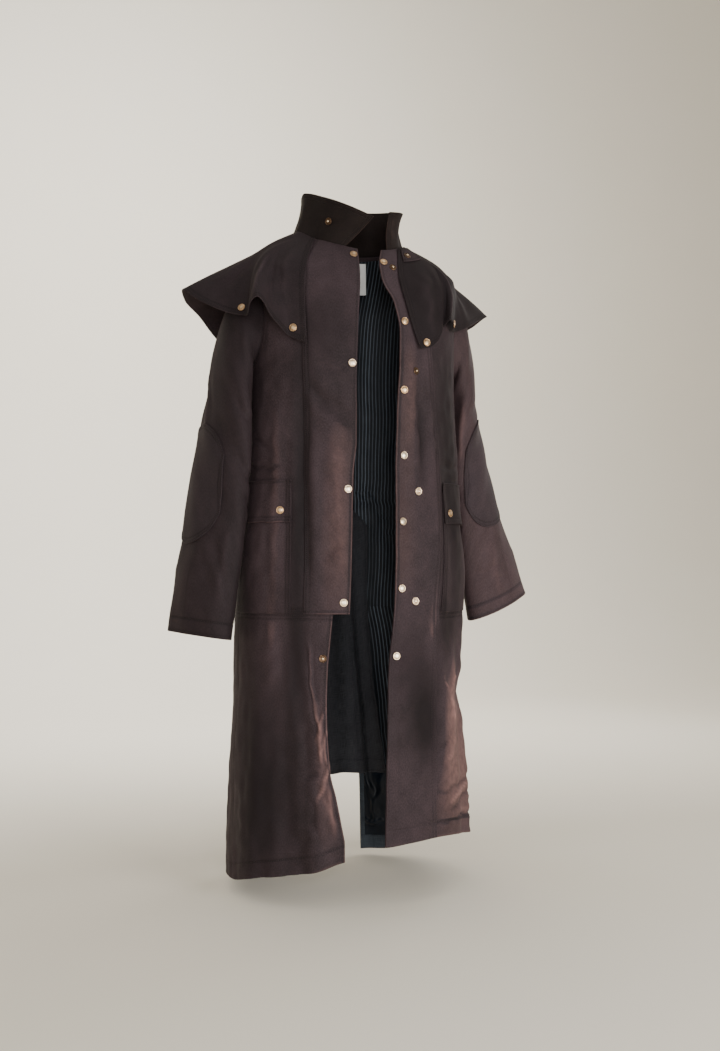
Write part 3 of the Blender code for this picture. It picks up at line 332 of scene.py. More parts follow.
# Level of the hem. Columns: turn, down
HEM = (
    (-180.0, 1.272), (-87.0, 1.252), (-62.0, 1.232), (-34.0, 1.216), (-16.0, 1.196), (0.0, 1.174),
    (28.0, 1.166), (52.0, 1.176), (90.0, 1.200), (150.0, 1.268), (180.0, 1.272),
)
# Sides of the pockets, as shares of the way from the strip seam to the side seam, and their puff
POCKET_SHARES = {"right": (0.14, 0.92), "left": (0.04, 0.92)}
POCKET_PUFF = 0.0022
PUFF_FROM_TOP = 0.06
PUFF_FROM_BOTTOM = 0.08
FLAP_CURL = 0.0024

# Sleeve rings. Columns: down, x, y, thin, wide, twist, tilt
SLEEVES = {
    "right": (
        (0.300, 0.251, 0.002, 0.033, 0.077, 8.0, 3.0),
        (0.380, 0.260, 0.000, 0.035, 0.081, 15.0, 5.0),
        (0.470, 0.270, 0.000, 0.038, 0.080, 22.0, 6.0),
        (0.560, 0.280, 0.000, 0.040, 0.079, 25.0, 7.0),
        (0.660, 0.296, 0.000, 0.041, 0.079, 27.0, 8.0),
        (0.779, 0.311, 0.000, 0.042, 0.080, 28.0, 8.0),
    ),
    "left": (
        (0.300, 0.254, 0.045, 0.035, 0.088, 10.0, 4.0),
        (0.360, 0.265, 0.045, 0.038, 0.087, 20.0, 8.0),
        (0.450, 0.283, 0.050, 0.041, 0.085, 34.0, 13.0),
        (0.540, 0.302, 0.050, 0.042, 0.083, 44.0, 17.0),
        (0.640, 0.329, 0.047, 0.042, 0.084, 56.0, 20.0),
        (0.733, 0.350, 0.042, 0.042, 0.085, 64.0, 20.0),
    ),
}
# Sleeve heads: how they leave the armhole and meet the lower sleeve
CAP_REACH = 0.062
CAP_DROOP = 0.69
CAP_TUCK = 0.28
CAP_FULLNESS = 0.020
HEAD_LENGTH = 0.25
UNDERARM_REACH = 0.012

# Metres for a degree round a sleeve and for its head's length, and a rough radius for its waves
SLEEVE_ARC = 0.0011
HEAD_ARC = 0.19
SLEEVE_RADIUS = 0.06
# Creases of the sleeves, in angles round the sleeve and metres along it from the lower sleeve's top.
# Columns: half_width, depth, wear_light_and_shade (as for the body's creases), path
SLEEVE_CREASES = {
    "right": (
        (0.008, 0.0030, 0.45, ((-28, -0.04), (-18, 0.02), (-12, 0.09))),
        (0.010, -0.0035, 0.00, ((52, 0.02), (86, 0.06), (128, 0.08))),
        (0.009, -0.0035, 0.00, ((58, 0.13), (95, 0.17), (140, 0.18))),
        (0.009, -0.0030, 0.00, ((70, 0.21), (104, 0.215), (150, 0.24))),
        (0.008, -0.0025, 0.00, ((20, 0.29), (48, 0.33), (70, 0.39))),
        (0.016, -0.0030, 0.00, ((30, 0.30), (24, 0.38), (20, 0.48))),
        (0.012, 0.0028, 0.20, ((62, 0.24), (58, 0.34), (60, 0.45))),
        (0.010, -0.0030, 0.00, ((-120, 0.05), (-100, 0.15), (-112, 0.26))),
        (0.009, -0.0030, 0.00, ((-60, 0.33), (-95, 0.37), (-130, 0.36))),
        (0.010, -0.0030, 0.00, ((180, 0.10), (215, 0.14), (240, 0.13))),
        (0.010, -0.0030, 0.00, ((165, 0.30), (200, 0.33), (235, 0.31))),
    ),
    "left": (
        (0.008, 0.0030, 0.14, ((96, 0.00), (98, 0.06), (94, 0.13))),
        (0.010, -0.0035, 0.00, ((20, 0.00), (52, 0.03), (86, 0.03))),
        (0.009, -0.0030, 0.00, ((84, 0.17), (112, 0.20), (150, 0.20))),
        (0.009, -0.0030, 0.00, ((88, 0.24), (118, 0.25), (150, 0.28))),
        (0.008, -0.0028, 0.00, ((78, 0.335), (45, 0.350), (8, 0.338))),
        (0.008, -0.0024, 0.00, ((62, 0.372), (30, 0.366), (-6, 0.384))),
        (0.012, 0.0028, 0.04, ((24, 0.28), (28, 0.34), (20, 0.42))),
        (0.010, -0.0030, 0.00, ((-110, 0.05), (-96, 0.15), (-108, 0.26))),
        (0.009, -0.0030, 0.00, ((-50, 0.31), (-86, 0.34), (-124, 0.33))),
        (0.010, -0.0030, 0.00, ((180, 0.09), (212, 0.13), (240, 0.12))),
        (0.010, -0.0030, 0.00, ((165, 0.28), (200, 0.31), (235, 0.29))),
    ),
}
# Painted shade over the whole right sleeve, which faces away from the key lamp, and a faint painted light on
# the left one
SLEEVE_LIGHT_AND_SHADE = {"right": -0.60, "left": 0.05}

PATCH_CLEARANCE = 0.0013
PATCH_ROUNDNESS = 0.80
PATCH_TONES = {"right": 0.06, "left": -0.24}
# Elbow patches. Columns: first_angle, last_angle, down_from, down_to
ELBOW_PATCHES = {"right": (-80.0, 40.0, 0.372, 0.608), "left": (-60.0, 80.0, 0.340, 0.566)}

# Cape: its seats at the neck and on the shoulders, how it stands up beside the neck, and its clearance
CAPE_NECK_DOWN = 0.002
CAPE_MID_DOWN = 0.045
CAPE_LIFT = 0.0058
CAPE_NECK_RISE = 0.013
CAPE_NECK_FLARE = 0.012
CAPE_MID_RISE = 0.016
CAPE_SOFTNESS = 0.012
CAPE_STAND_FROM = 62.0
CAPE_STAND_OVER = 24.0
CAPE_NECK_SHARE = 0.12
CAPE_LAST_STATION = 17
CAPE_CLEARING_ROUNDS = 4
CAPE_TONES = {"right": -0.70, "left": -0.95}
# Cape halves, from the front round to the centre back. Columns: station, neck_turn, mid_turn, x, y, z of
# the hem
CAPES = {
    "right": (
        (0, -60.0, -41.0, -0.139, -0.138, -0.228),
        (1, -63.0, -52.0, -0.169, -0.119, -0.211),
        (2, -66.0, -58.0, -0.187, -0.125, -0.197),
        (3, -69.0, -63.0, -0.207, -0.130, -0.177),
        (4, -72.0, -67.0, -0.222, -0.135, -0.155),
        (5, -74.0, -70.0, -0.235, -0.138, -0.148),
        (6, -76.0, -73.0, -0.245, -0.124, -0.161),
        (7, -79.0, -76.0, -0.243, -0.098, -0.174),
        (8, -82.0, -80.0, -0.266, -0.072, -0.168),
        (9, -86.0, -84.0, -0.296, -0.055, -0.155),
        (10, -90.0, -88.0, -0.327, -0.030, -0.134),
        (11, -94.0, -93.0, -0.345, 0.000, -0.1135),
        (12, -102.0, -103.0, -0.330, 0.045, -0.125),
        (13, -112.0, -115.0, -0.290, 0.098, -0.142),
        (14, -125.0, -130.0, -0.250, 0.142, -0.170),
        (15, -140.0, -146.0, -0.190, 0.178, -0.215),
        (16, -160.0, -163.0, -0.100, 0.197, -0.255),
        (17, -180.0, -180.0, 0.000, 0.200, -0.270),
    ),
    "left": (
        (0, 41.0, 14.0, 0.084, -0.161, -0.228),
        (1, 48.0, 25.0, 0.106, -0.158, -0.222),
        (2, 54.0, 36.0, 0.124, -0.151, -0.209),
        (3, 60.0, 45.0, 0.136, -0.141, -0.192),
        (4, 65.0, 53.0, 0.143, -0.136, -0.177),
        (5, 69.0, 58.0, 0.153, -0.146, -0.163),
        (6, 72.0, 63.0, 0.166, -0.134, -0.168),
        (7, 75.0, 68.0, 0.178, -0.106, -0.179),
        (8, 79.0, 73.0, 0.201, -0.090, -0.172),
        (9, 83.0, 79.0, 0.227, -0.072, -0.160),
        (10, 87.0, 85.0, 0.264, -0.038, -0.140),
        (11, 92.0, 92.0, 0.312, 0.015, -0.116),
        (12, 100.0, 102.0, 0.308, 0.062, -0.126),
        (13, 112.0, 115.0, 0.282, 0.105, -0.145),
        (14, 125.0, 130.0, 0.246, 0.144, -0.170),
        (15, 140.0, 146.0, 0.190, 0.178, -0.215),
        (16, 160.0, 163.0, 0.100, 0.197, -0.255),
        (17, 180.0, 180.0, 0.000, 0.200, -0.270),
    ),
}
# Metres for a station and for the cape's length
STATION_ARC = 0.022
SHARE_ARC = 0.21
# Creases of the cape, in stations and shares of the way down. Columns: half_width, depth,
# wear_light_and_shade (as for the body's creases), path
CAPE_CREASES = {
    "right": (
        (0.006, 0.0020, 0.80, ((5.2, 0.42), (5.4, 0.70), (5.5, 1.02))),
        (0.008, -0.0030, 0.10, ((8.6, 0.50), (9.0, 0.72), (9.6, 1.00))),
        (0.010, 0.0022, 0.18, ((1.6, 0.20), (1.2, 0.55), (0.8, 0.95))),
        (0.009, -0.0022, 0.00, ((3.2, 0.35), (2.9, 0.62), (2.6, 0.98))),
        (0.014, 0.0030, 0.10, ((13.0, 0.40), (13.3, 0.70), (13.5, 1.02))),
        (0.014, -0.0028, 0.00, ((14.8, 0.45), (15.0, 0.75), (15.1, 1.02))),
    ),
    "left": (
        (0.006, 0.0020, 0.60, ((5.0, 0.35), (5.2, 0.65), (5.3, 1.02))),
        (0.010, -0.0034, -0.40, ((3.9, 0.25), (3.8, 0.65), (3.9, 1.02))),
        (0.009, 0.0022, 0.25, ((1.8, 0.25), (1.6, 0.60), (1.4, 0.98))),
        (0.008, -0.0026, 0.00, ((9.2, 0.50), (9.5, 0.75), (9.8, 1.00))),
        (0.014, 0.0030, 0.10, ((13.2, 0.40), (13.4, 0.70), (13.6, 1.02))),
        (0.014, -0.0028, 0.00, ((14.9, 0.45), (15.1, 0.75), (15.2, 1.02))),
    ),
}

# Collar. Columns: turn, x, y, z of the upper edge
COLLAR = (
    (-24.0, 0.000, -0.126, 0.027),
    (-40.0, -0.040, -0.109, 0.047),
    (-62.0, -0.078, -0.068, 0.072),
    (-90.0, -0.102, -0.006, 0.094),
    (-125.0, -0.085, 0.051, 0.097),
    (-180.0, 0.000, 0.086, 0.095),
    (-235.0, 0.080, 0.050, 0.090),
    (-275.0, 0.099, -0.005, 0.078),
    (-300.0, 0.097, -0.036, 0.066),
    (-318.0, 0.080, -0.062, 0.060),
    (-334.0, 0.053, -0.078, 0.054),
)
COLLAR_WAIST = 0.005
COLLAR_RISE = 0.0012
COLLAR_SEAT = 0.0014
# Metres for a degree round the collar, and its height
COLLAR_ARC = 0.0018
COLLAR_HEIGHT = 0.09
# Creases of the collar, in turns and shares of the way up. Columns: half_width, depth, wear_light_and_shade,
# path
COLLAR_CREASES = (
    (0.007, -0.0016, 0.00, ((-72, 0.15), (-58, 0.42), (-44, 0.60))),
    (0.006, -0.0014, 0.00, ((-88, 0.20), (-80, 0.50), (-76, 0.85))),
    (0.008, 0.0014, 0.00, ((-50, 0.20), (-40, 0.55), (-30, 0.95))),
    (0.007, -0.0014, 0.00, ((-150, 0.30), (-178, 0.38), (-206, 0.32))),
    (0.007, -0.0014, 0.00, ((-260, 0.20), (-272, 0.55), (-280, 0.90))),
    (0.008, 0.0014, 0.12, ((-322, 0.20), (-328, 0.55), (-331, 0.95))),
)

# Throat tab on the left cape half: stations and length, shares and width
TAB_PLACE = (((0.5, 3.1), 0.05), ((0.03, 0.20), 0.035))
TAB_LIFT = 0.0024
TAB_TONE = -0.45
# Label inside the back of the neck
LABEL_HALF_WIDTH = 0.063
LABEL_TOP = 0.006
LABEL_LENGTH = 0.066
LABEL_CLEARANCE = 0.0012
LABEL_WAVE = 0.0012
LABEL_WAVE_RATE = 0.16

# Snaps on the fronts. Columns: name, x, down, layers under it
FRONT_SNAPS = (
    ("snap_cap_right_1", -0.031, 0.010, 1), ("snap_cap_right_2", -0.055, 0.263, 1),
    ("snap_cap_right_3", -0.065, 0.501, 1), ("snap_cap_right_4", -0.075, 0.714, 1),
    ("snap_socket_skirt_right", -0.113, 0.818, 0), ("snap_cap_left_1", 0.0275, 0.018, 1),
    ("snap_cap_left_2", 0.053, 0.147, 1), ("snap_cap_left_3", 0.049, 0.309, 1),
    ("snap_cap_left_4", 0.049, 0.434, 1), ("snap_cap_left_5", 0.044, 0.561, 1),
    ("snap_cap_left_6", 0.040, 0.688, 1), ("snap_cap_left_7", 0.029, 0.816, 1),
    ("snap_socket_left_1", 0.0445, 0.026, 1), ("snap_socket_left_2", 0.074, 0.271, 1),
    ("snap_socket_left_3", 0.079, 0.502, 1), ("snap_socket_left_4", 0.071, 0.713, 1),
    ("snap_flap_right", -0.179, 0.540, 2), ("snap_flap_left", 0.157, 0.543, 2),
)
# Snaps on the cape and its tab. Columns: name, side, station, share, lift
CAPE_SNAPS = (
    ("snap_cape_right_front", "right", 0.62, 0.925, 0.0), ("snap_cape_right_side", "right", 7.52, 0.940, 0.0),
    ("snap_cape_left_front", "left", 0.68, 0.962, 0.0), ("snap_cape_left_side", "left", 6.80, 0.940, 0.0),
    ("snap_tab", "left", 1.15, 0.13, TAB_LIFT),
)
# Turn and share of the collar's snap
COLLAR_SNAP = (-54.5, 0.49)
SNAP_SEGMENTS = 40
# Turned outlines of the snaps. Columns: radius, height
CAP_OUTLINE = (
    (0.0000, 0.0030), (0.0020, 0.00295), (0.0038, 0.00272), (0.0052, 0.00232), (0.0058, 0.00200),
    (0.0061, 0.00190), (0.0064, 0.00200), (0.0068, 0.00215), (0.0072, 0.00190), (0.0075, 0.00120),
    (0.0075, 0.00040), (0.0070, -0.00040),
)
SOCKET_OUTLINE = (
    (0.0000, 0.0004), (0.0022, 0.0004), (0.0026, 0.0007), (0.0029, 0.0022), (0.0034, 0.0028),
    (0.0041, 0.0028), (0.0046, 0.0022), (0.0049, 0.0013), (0.0060, 0.0012), (0.0066, 0.0017),
    (0.0071, 0.0016), (0.0075, 0.0008), (0.0075, 0.0002), (0.0070, -0.0004),
)
STUD_OUTLINE = (
    (0.0000, 0.0031), (0.0014, 0.0030), (0.0020, 0.0026), (0.0022, 0.0018), (0.0022, 0.0011),
    (0.0032, 0.0008), (0.0058, 0.0008), (0.0064, 0.0013), (0.0069, 0.0013), (0.0074, 0.0007),
    (0.0075, 0.0001), (0.0070, -0.0004),
)
# Snaps by their looks: the middle of each snap, most of all a stud's eye, is painted pale as a painted
# highlight.
# The golden ones are named by their start; the rest, but the studs, are a paler copy of that brass as a
# painted reflection
PAINTED_HIGHLIGHT_RADIUS = 0.0021
GOLDEN_SNAPS = ("snap_cape", "snap_flap", "snap_cap_right_1", "snap_cap_left_1", "snap_cap_left_2",
                "snap_cap_left_3")
STUDS = ("snap_collar", "snap_tab", "snap_socket_skirt_right", "snap_socket_left_1", "snap_socket_left_2")

# Rough sizes of the pieces, over which their rows and columns are spread
FRONT_WIDTH = 0.27
POCKET_WIDTH = 0.15
STRIP_WIDTH = 0.11
STRIP_SKIRT_LENGTH = 0.44
SKIRT_LENGTH = 0.50
BACK_SKIRT_WIDTH = 0.31
SKIRT_LINING_SIZE = 0.30
BACK_WIDTH = 0.54
FANTAIL_WIDTH = 0.28
PATCH_WIDTH = 0.15
PATCH_LENGTH = 0.23
COLLAR_LENGTH = 0.58

# Fineness of the shells, and the steps that find directions
STEP = 0.0055
FINE_STEP = 0.0040
SMALL_STEP = 0.0030
TAB_STEP = 0.0020
CRINKLE_STEP = 0.0022
CRINKLED = 0.045
HEAD_ROWS = 30
SLEEVE_ANGLE_STEP = 4.0
CAPE_COLUMNS = 130
CAPE_EDGE_COLUMNS = (0.0, 0.0012, 0.0028, 0.0040, 0.0052, 0.0070, 0.0095, 0.0115)
CAPE_DIGITS = 4
LABEL_COLUMNS = 50
LINE_OFFSETS = (-0.0024, -0.0012, 0.0, 0.0012, 0.0024)
CLOSEST_LINES = 0.0006
ARMHOLE_LEVELS = 40
TURN_STEP = 0.25
DOWN_STEP = 0.0008
ANGLE_STEP = 1.0
STATION_STEP = 0.01
SHARE_STEP = 0.005
COLLAR_TURN_STEP = 0.5
COLLAR_SHARE_STEP = 0.01

# Seams: rows of stitches at these distances from a border
BORDERS = ("left", "right", "top", "bottom")
SINGLE = (0.0040,)
DOUBLE = (0.0030, 0.0095)
WIDE_HEM = (0.0300,)
CUFF_HEM = (0.0040, 0.0290)
STITCH_PITCH = 0.0036
STITCH_LENGTH = 0.0027
STITCH_WIDTH = 0.00075
STITCH_HEIGHT = 0.00045
STITCH_LEAN = 0.00018
STITCH_SEED = 5
STITCH_TRIM = 0.0008
STITCH_FACES = np.array(((0, 3, 4), (3, 1, 4), (1, 2, 4), (2, 0, 4), (0, 2, 3), (2, 1, 3)))
STITCH_DIP = 0.00045
STITCH_DIP_WIDTH = 0.0012
EDGE_SWELL = 0.00035
EDGE_SWELL_WIDTH = 0.0030
EDGE_RUB = 0.14
EDGE_RUB_WIDTH = 0.0026
SEAM_SHADE = 0.42
SEAM_SHADE_WIDTH = 0.0017
INNER_WEAR_LIGHT_AND_SHADE = 0.3
# The left strip's seams hardly show below the skirt seam
STRIP_QUIET = 0.85
STRIP_QUIET_OVER = 0.07

# Pockets and flaps. Columns: name, top, bottom, layer, seams, worn borders
FLAP_LAYER = 2
POCKETS = (
    ("pocket_", POCKET_TOP, FRONT_END, 1, {"left": DOUBLE, "right": SINGLE}, ()),
    ("pocket_flap_", FLAP_TOP, FLAP_BOTTOM, FLAP_LAYER,
     {"left": DOUBLE, "right": DOUBLE, "top": SINGLE, "bottom": DOUBLE}, ("bottom",)),
)
# Front skirts. Columns: edge, closer columns beside it, worn borders
FRONT_SKIRTS = {
    "right": (RIGHT_SKIRT_EDGE, np.arange(0.0, CRINKLED, CRINKLE_STEP), ("left", "bottom")),
    "left": (LEFT_EDGE, (), ("bottom",)),
}
# Linings of the left back skirt. Columns: name, first and last share of the way down, finish, folds
SKIRT_LININGS = (
    ("lining_skirt_left", 0.0, STRIPES_END, "stripes", ()),
    ("satin_skirt_left", SATIN_START, SATIN_END, "satin", SATIN_FOLDS),
)

# Camera fitted to the photograph, taken as 720 x 1051 pixels
IMAGE_HEIGHT = 1051.0
FOCAL_PIXELS = 1160.0
AXIS_RIGHT_OF_COAT = 9.0
HORIZON_BELOW_CENTRE = 34.5
CAMERA_TURN = -20.0
CAMERA_DISTANCE = 2.35
CAMERA_HEIGHT = -0.634
SENSOR = 36.0

# Stage: a floor that bends up into a backdrop, the light from all round and the lamps
FLOOR_BELOW = 0.012
FLOOR_HALF_WIDTH = 14.0
FLOOR_AHEAD = -9.0
FLOOR_COLOURS = ((0.86, 0.80, 0.68), (0.88, 0.82, 0.71))
BEND_FROM = 2.6
BEND_RADIUS = 2.0
BEND_STEPS = 16
BACKDROP_TOP = 7.0
WORLD_COLOUR = (1.0, 0.95, 0.86, 1.0)
WORLD_STRENGTH = 0.50
COAT = (0.0, 0.0, -0.55)
# Columns: name, place, aim, size, watts
LAMPS = (
    ("key", (1.15, -2.60, -0.45), COAT, 1.2, 48.0),
    ("lens", (-0.80, -2.90, -0.45), COAT, 0.8, 30.0),
    ("fill", (-2.3, -1.9, 0.2), COAT, 1.8, 4.0),
    ("top", (0.2, 0.0, 2.3), COAT, 2.0, 10.0),
    ("rim_left", (2.1, 1.4, 0.4), COAT, 1.2, 14.0),
    ("rim_right", (-2.0, 1.6, 0.4), COAT, 1.2, 6.0),
    ("backdrop", (0.0, 1.6, 1.6), (0.0, 4.6, 0.2), 2.4, 170.0),
)


def monotone(rows, at, index):
    """Value of a table's column where its first column is at, by a cubic that does not overshoot."""
    x = np.array([row[0] for row in rows], float)
    y = np.array([row[index] for row in rows], float)
    slopes = np.diff(y) / np.diff(x)
    product = slopes[:-1] * slopes[1:]
    total = slopes[:-1] + slopes[1:]
    bends = np.where(product > 0.0, 2.0 * product / np.where(total == 0.0, 1.0, total), 0.0)
    tangents = np.concatenate((slopes[:1], bends, slopes[-1:]))
    at = np.clip(at, x[0], x[-1])
    i = np.clip(np.searchsorted(x, at, side="right") - 1, 0, len(x) - 2)
    width = x[i + 1] - x[i]
    t = (at - x[i]) / width
    rise = 3.0 * t * t - 2.0 * t ** 3
    lead = t ** 3 - 2.0 * t * t + t
    tail = t ** 3 - t * t
    return y[i] + (y[i + 1] - y[i]) * rise + width * (tangents[i] * lead + tangents[i + 1] * tail)


def ease(t):
    """Smooth step from 0 to 1."""
    t = np.clip(t, 0.0, 1.0)
    return t * t * (3.0 - 2.0 * t)


def bell(place, middle, width):
    """Smooth bump, 1 at its middle."""
    return np.exp(-((place - middle) / width) ** 2)


def half_turned(turn):
    """Turn as an angle from -180 to 180."""
    return np.mod(turn + 180.0, 360.0) - 180.0


def stacked(x, y, z):
    """Points from three arrays."""
    return np.stack(np.broadcast_arrays(x, y, z), -1)


def length_of(vectors):
    """Lengths of vectors, kept as a last axis."""
    return np.linalg.norm(vectors, axis=-1, keepdims=True)


def unit(vectors):
    """Vectors made one long."""
    return vectors / np.maximum(length_of(vectors), 1e-12)


def facing_of(surface, across, along, step_across, step_along):
    """Directions square to a surface, by its small steps across and along."""
    over = surface(across + step_across, along) - surface(across - step_across, along)
    down = surface(across, along + step_along) - surface(across, along - step_along)
    return unit(np.cross(over, down))


def ripple(s, t, seed, length, stretch):
    """Smooth uneven waves, mostly within -1 and 1, longer along t by the stretch."""
    random = np.random.default_rng(seed)
    total = 0.0
    for _ in range(RIPPLE_WAVES):
        heading, phase = random.uniform(0.0, 2.0 * math.pi, 2)
        pitch = random.uniform(*RIPPLE_PITCHES) * 2.0 * math.pi / length
        total = total + np.cos(pitch * (math.cos(heading) * s + math.sin(heading) * t / stretch) + phase)
    return total / math.sqrt(RIPPLE_WAVES)


def waves(s, t, *rows):
    """Sum of small uneven waves, each given by its seed, height, length and stretch."""
    return sum(height * ripple(s, t, seed, length, stretch) for seed, height, length, stretch in rows)


def from_path(s, t, path):
    """Distance of places from a path, and the share of the way along it."""
    gap = np.full(np.shape(s), np.inf)
    share = np.zeros(np.shape(s))
    spans = [math.dist(a, b) for a, b in zip(path, path[1:])]
    before = 0.0
    for a, b, span in zip(path, path[1:], spans):
        over = b[0] - a[0]
        down = b[1] - a[1]
        part = np.clip(((s - a[0]) * over + (t - a[1]) * down) / span ** 2, 0.0, 1.0)
        here = np.hypot(s - a[0] - part * over, t - a[1] - part * down)
        share = np.where(here < gap, (before + part * span) / sum(spans), share)
        gap = np.minimum(gap, here)
        before += span
    return gap, share


def creased(s, t, creases, scale_s, scale_t, wrap=None):
    """Push, and wear with painted light and shade, of a table of creases at places in metres."""
    push = np.zeros(np.shape(s))
    wear_light_and_shade = np.zeros(np.shape(s))
    crooked_s = s + waves(s, t, WANDER_ACROSS)
    crooked_t = t + waves(s, t, WANDER_ALONG)
    for half_width, depth, worn, path in creases:
        places = [((a % wrap if wrap else a) * scale_s, b * scale_t) for a, b in path]
        gap, share = from_path(crooked_s, crooked_t, places)
        fade = ease(share / CREASE_FADE) * ease((1.0 - share) / CREASE_FADE)
        lip = bell(gap, CREASE_LIP_PLACE * half_width, CREASE_LIP_WIDTH * half_width)
        push += depth * fade * (bell(gap, 0.0, half_width) - CREASE_LIP * lip)
        wear_light_and_shade += worn * fade * bell(gap, 0.0, CREASE_LIGHT_AND_SHADE_WIDTH * half_width)
    return push, wear_light_and_shade


def rounded(value):
    """Sine or cosine made squarer, which flattens an oval's sides."""
    return np.copysign(np.abs(value) ** (2.0 / SQUARENESS), value)


def fold_push(turn, down):
    """How far the large folds push the body cloth out."""
    turn = half_turned(turn)
    push = 0.0
    for turn_top, turn_bottom, down_from, down_to, half_turn, depth in FOLDS:
        share = np.clip((down - down_from) / (down_to - down_from), 0.0, 1.0)
        away = np.clip(np.abs(turn - turn_top - (turn_bottom - turn_top) * share) / half_turn, 0.0, 1.0)
        fade = ease(share / FOLD_FADE_IN) * ease((1.0 - share) / FOLD_FADE_OUT)
        push = push + depth * fade * (0.5 + 0.5 * np.cos(math.pi * away))
    return push


def body_ring(down, ahead):
    """Half width, depth and drop of the body's rings, on their front or back half."""
    drop = np.where(ahead, monotone(BODY, down, 1), monotone(BODY, down, 2))
    depth = np.where(ahead, monotone(BODY, down, 4), monotone(BODY, down, 5))
    return monotone(BODY, down, 3), depth, drop


def body_form(turn, down):
    """Middle surface of the coat body, as in the solids."""
    angle = np.radians(turn)
    across = rounded(np.sin(angle))
    along = rounded(np.cos(angle))
    half_width, depth, drop = body_ring(down, np.cos(angle) > 0.0)
    below = np.maximum(0.0, down - BODY[-1][0])
    place = stacked(half_width * across, -depth * along, -down - below - drop * np.cos(angle) ** 2)
    out = unit(stacked(across / half_width, -along / depth, 0.0))
    return place + out * np.asarray(fold_push(turn, down))[..., None]


def form_facing(turn, down):
    """Direction that faces out of the body form."""
    return -facing_of(body_form, turn, np.maximum(down, 2.0 * DOWN_STEP), TURN_STEP, DOWN_STEP)


def broad(turn, down, areas):
    """Sum of soft round areas of the body."""
    total = 0.0
    for middle, level, half_turn, half_down, amount in areas:
        away = half_turned(turn - middle)
        total = total + amount * bell(away, 0.0, half_turn) * bell(down, level, half_down)
    return total


def body_push(turn, down):
    """Push of the body's creases and small waves."""
    s = np.mod(turn, 360.0) * ARC
    push, _ = creased(s, down, CREASES, ARC, 1.0, wrap=360.0)
    calm = CALM_SHARE + (1.0 - CALM_SHARE) * ease((down - CALM_TO) / CALM_OVER)
    return push + calm * waves(s, down, *BODY_WAVES) + broad(turn, down, HOLLOWS)


def body_wear_light_and_shade(turn, down):
    """Wear with painted light and shade on the body's surface."""
    s = np.mod(turn, 360.0) * ARC
    _, wear_light_and_shade = creased(s, down, CREASES, ARC, 1.0, wrap=360.0)
    return wear_light_and_shade + broad(turn, down, WEAR_LIGHT_AND_SHADE_AREAS)


def body_surface(turn, down):
    """Creased middle surface of the coat body."""
    return body_form(turn, down) + form_facing(turn, down) * body_push(turn, down)[..., None]


def on_body(turn, down, lift):
    """Places on the creased body, moved out, with the directions that face out and the wear with painted
    light and shade.
    """
    low = np.maximum(down, 2.0 * DOWN_STEP)
    facing = -facing_of(body_surface, turn, low, TURN_STEP, DOWN_STEP)
    return body_surface(turn, down) + facing * np.asarray(lift)[..., None], facing, body_wear_light_and_shade(turn, down)


def turn_at(x, down):
    """Turn of the place on the front half of a body ring that is x from the middle."""
    share = np.minimum(1.0, np.abs(x) / monotone(BODY, down, 3))
    return np.copysign(np.degrees(np.arcsin(share ** (SQUARENESS / 2.0))), x)


def edge_turn(table, down):
    """Turn of a front edge or strip seam at a level."""
    return turn_at(monotone(table, down, 1), down)


def seam_turn(down):
    """Turn taken by half of a seam's gap."""
    return np.degrees(0.5 * SEAM_GAP / monotone(BODY, down, 3))


def side_turn(down):
    """How far from the centre front, as a turn, a front reaches at a level."""
    share = np.clip((down - SHOULDER_TIP) / (UNDERARM - SHOULDER_TIP), 0.0, 1.0)
    return SIDE_SEAM - ARMHOLE_TURN * np.sin(np.arccos(1.0 - 2.0 * share)) - seam_turn(down)


def hem_down(turn):
    """Level of the hem at a turn."""
    return monotone(HEM, half_turned(turn), 1)


def side_edge(sign, beyond, down):
    """Turn of a skirt's edge at the side seam, before it (-1) or beyond it (1)."""
    return sign * (SIDE_SEAM + beyond * seam_turn(down))


def vent_edge(sign, down):
    """Turn of a back skirt's edge at the vent."""
    return sign * 180.0 - turn_at(sign * monotone(VENT_EDGE, down, 1), down)


def skirt_places(first, last, shares, levels):
    """Turns and downs of a skirt between two edges, each a function of the level."""
    share, level = np.meshgrid(shares, levels)
    guess = SKIRT_SEAM + level * (hem_down(last(SKIRT_SEAM)) - SKIRT_SEAM)
    turn = first(guess) + (last(guess) - first(guess)) * share
    top = SKIRT_SEAM + 0.5 * SEAM_GAP
    return turn, top + level * (hem_down(turn) - top)


def marks(length, step, near=(), far=(), extra=()):
    """Places along a length, evenly spread, with more at both ends and beside each row of stitches."""
    found = list(np.linspace(0.0, length, max(2, round(length / step)) + 1)) + list(extra)
    for offset in LINE_OFFSETS:
        found += [inset + offset for inset in (0.0,) + tuple(near)]
        found += [length - inset - offset for inset in (0.0,) + tuple(far)]
    kept = [0.0]
    for mark in sorted(found):
        if kept[-1] + CLOSEST_LINES < mark < length - CLOSEST_LINES:
            kept.append(mark)
    return np.array(kept + [length])


def spread(length, step, near=(), far=(), extra=()):
    """Places along a length, as shares of it."""
    return marks(length, step, near, far, extra) / length


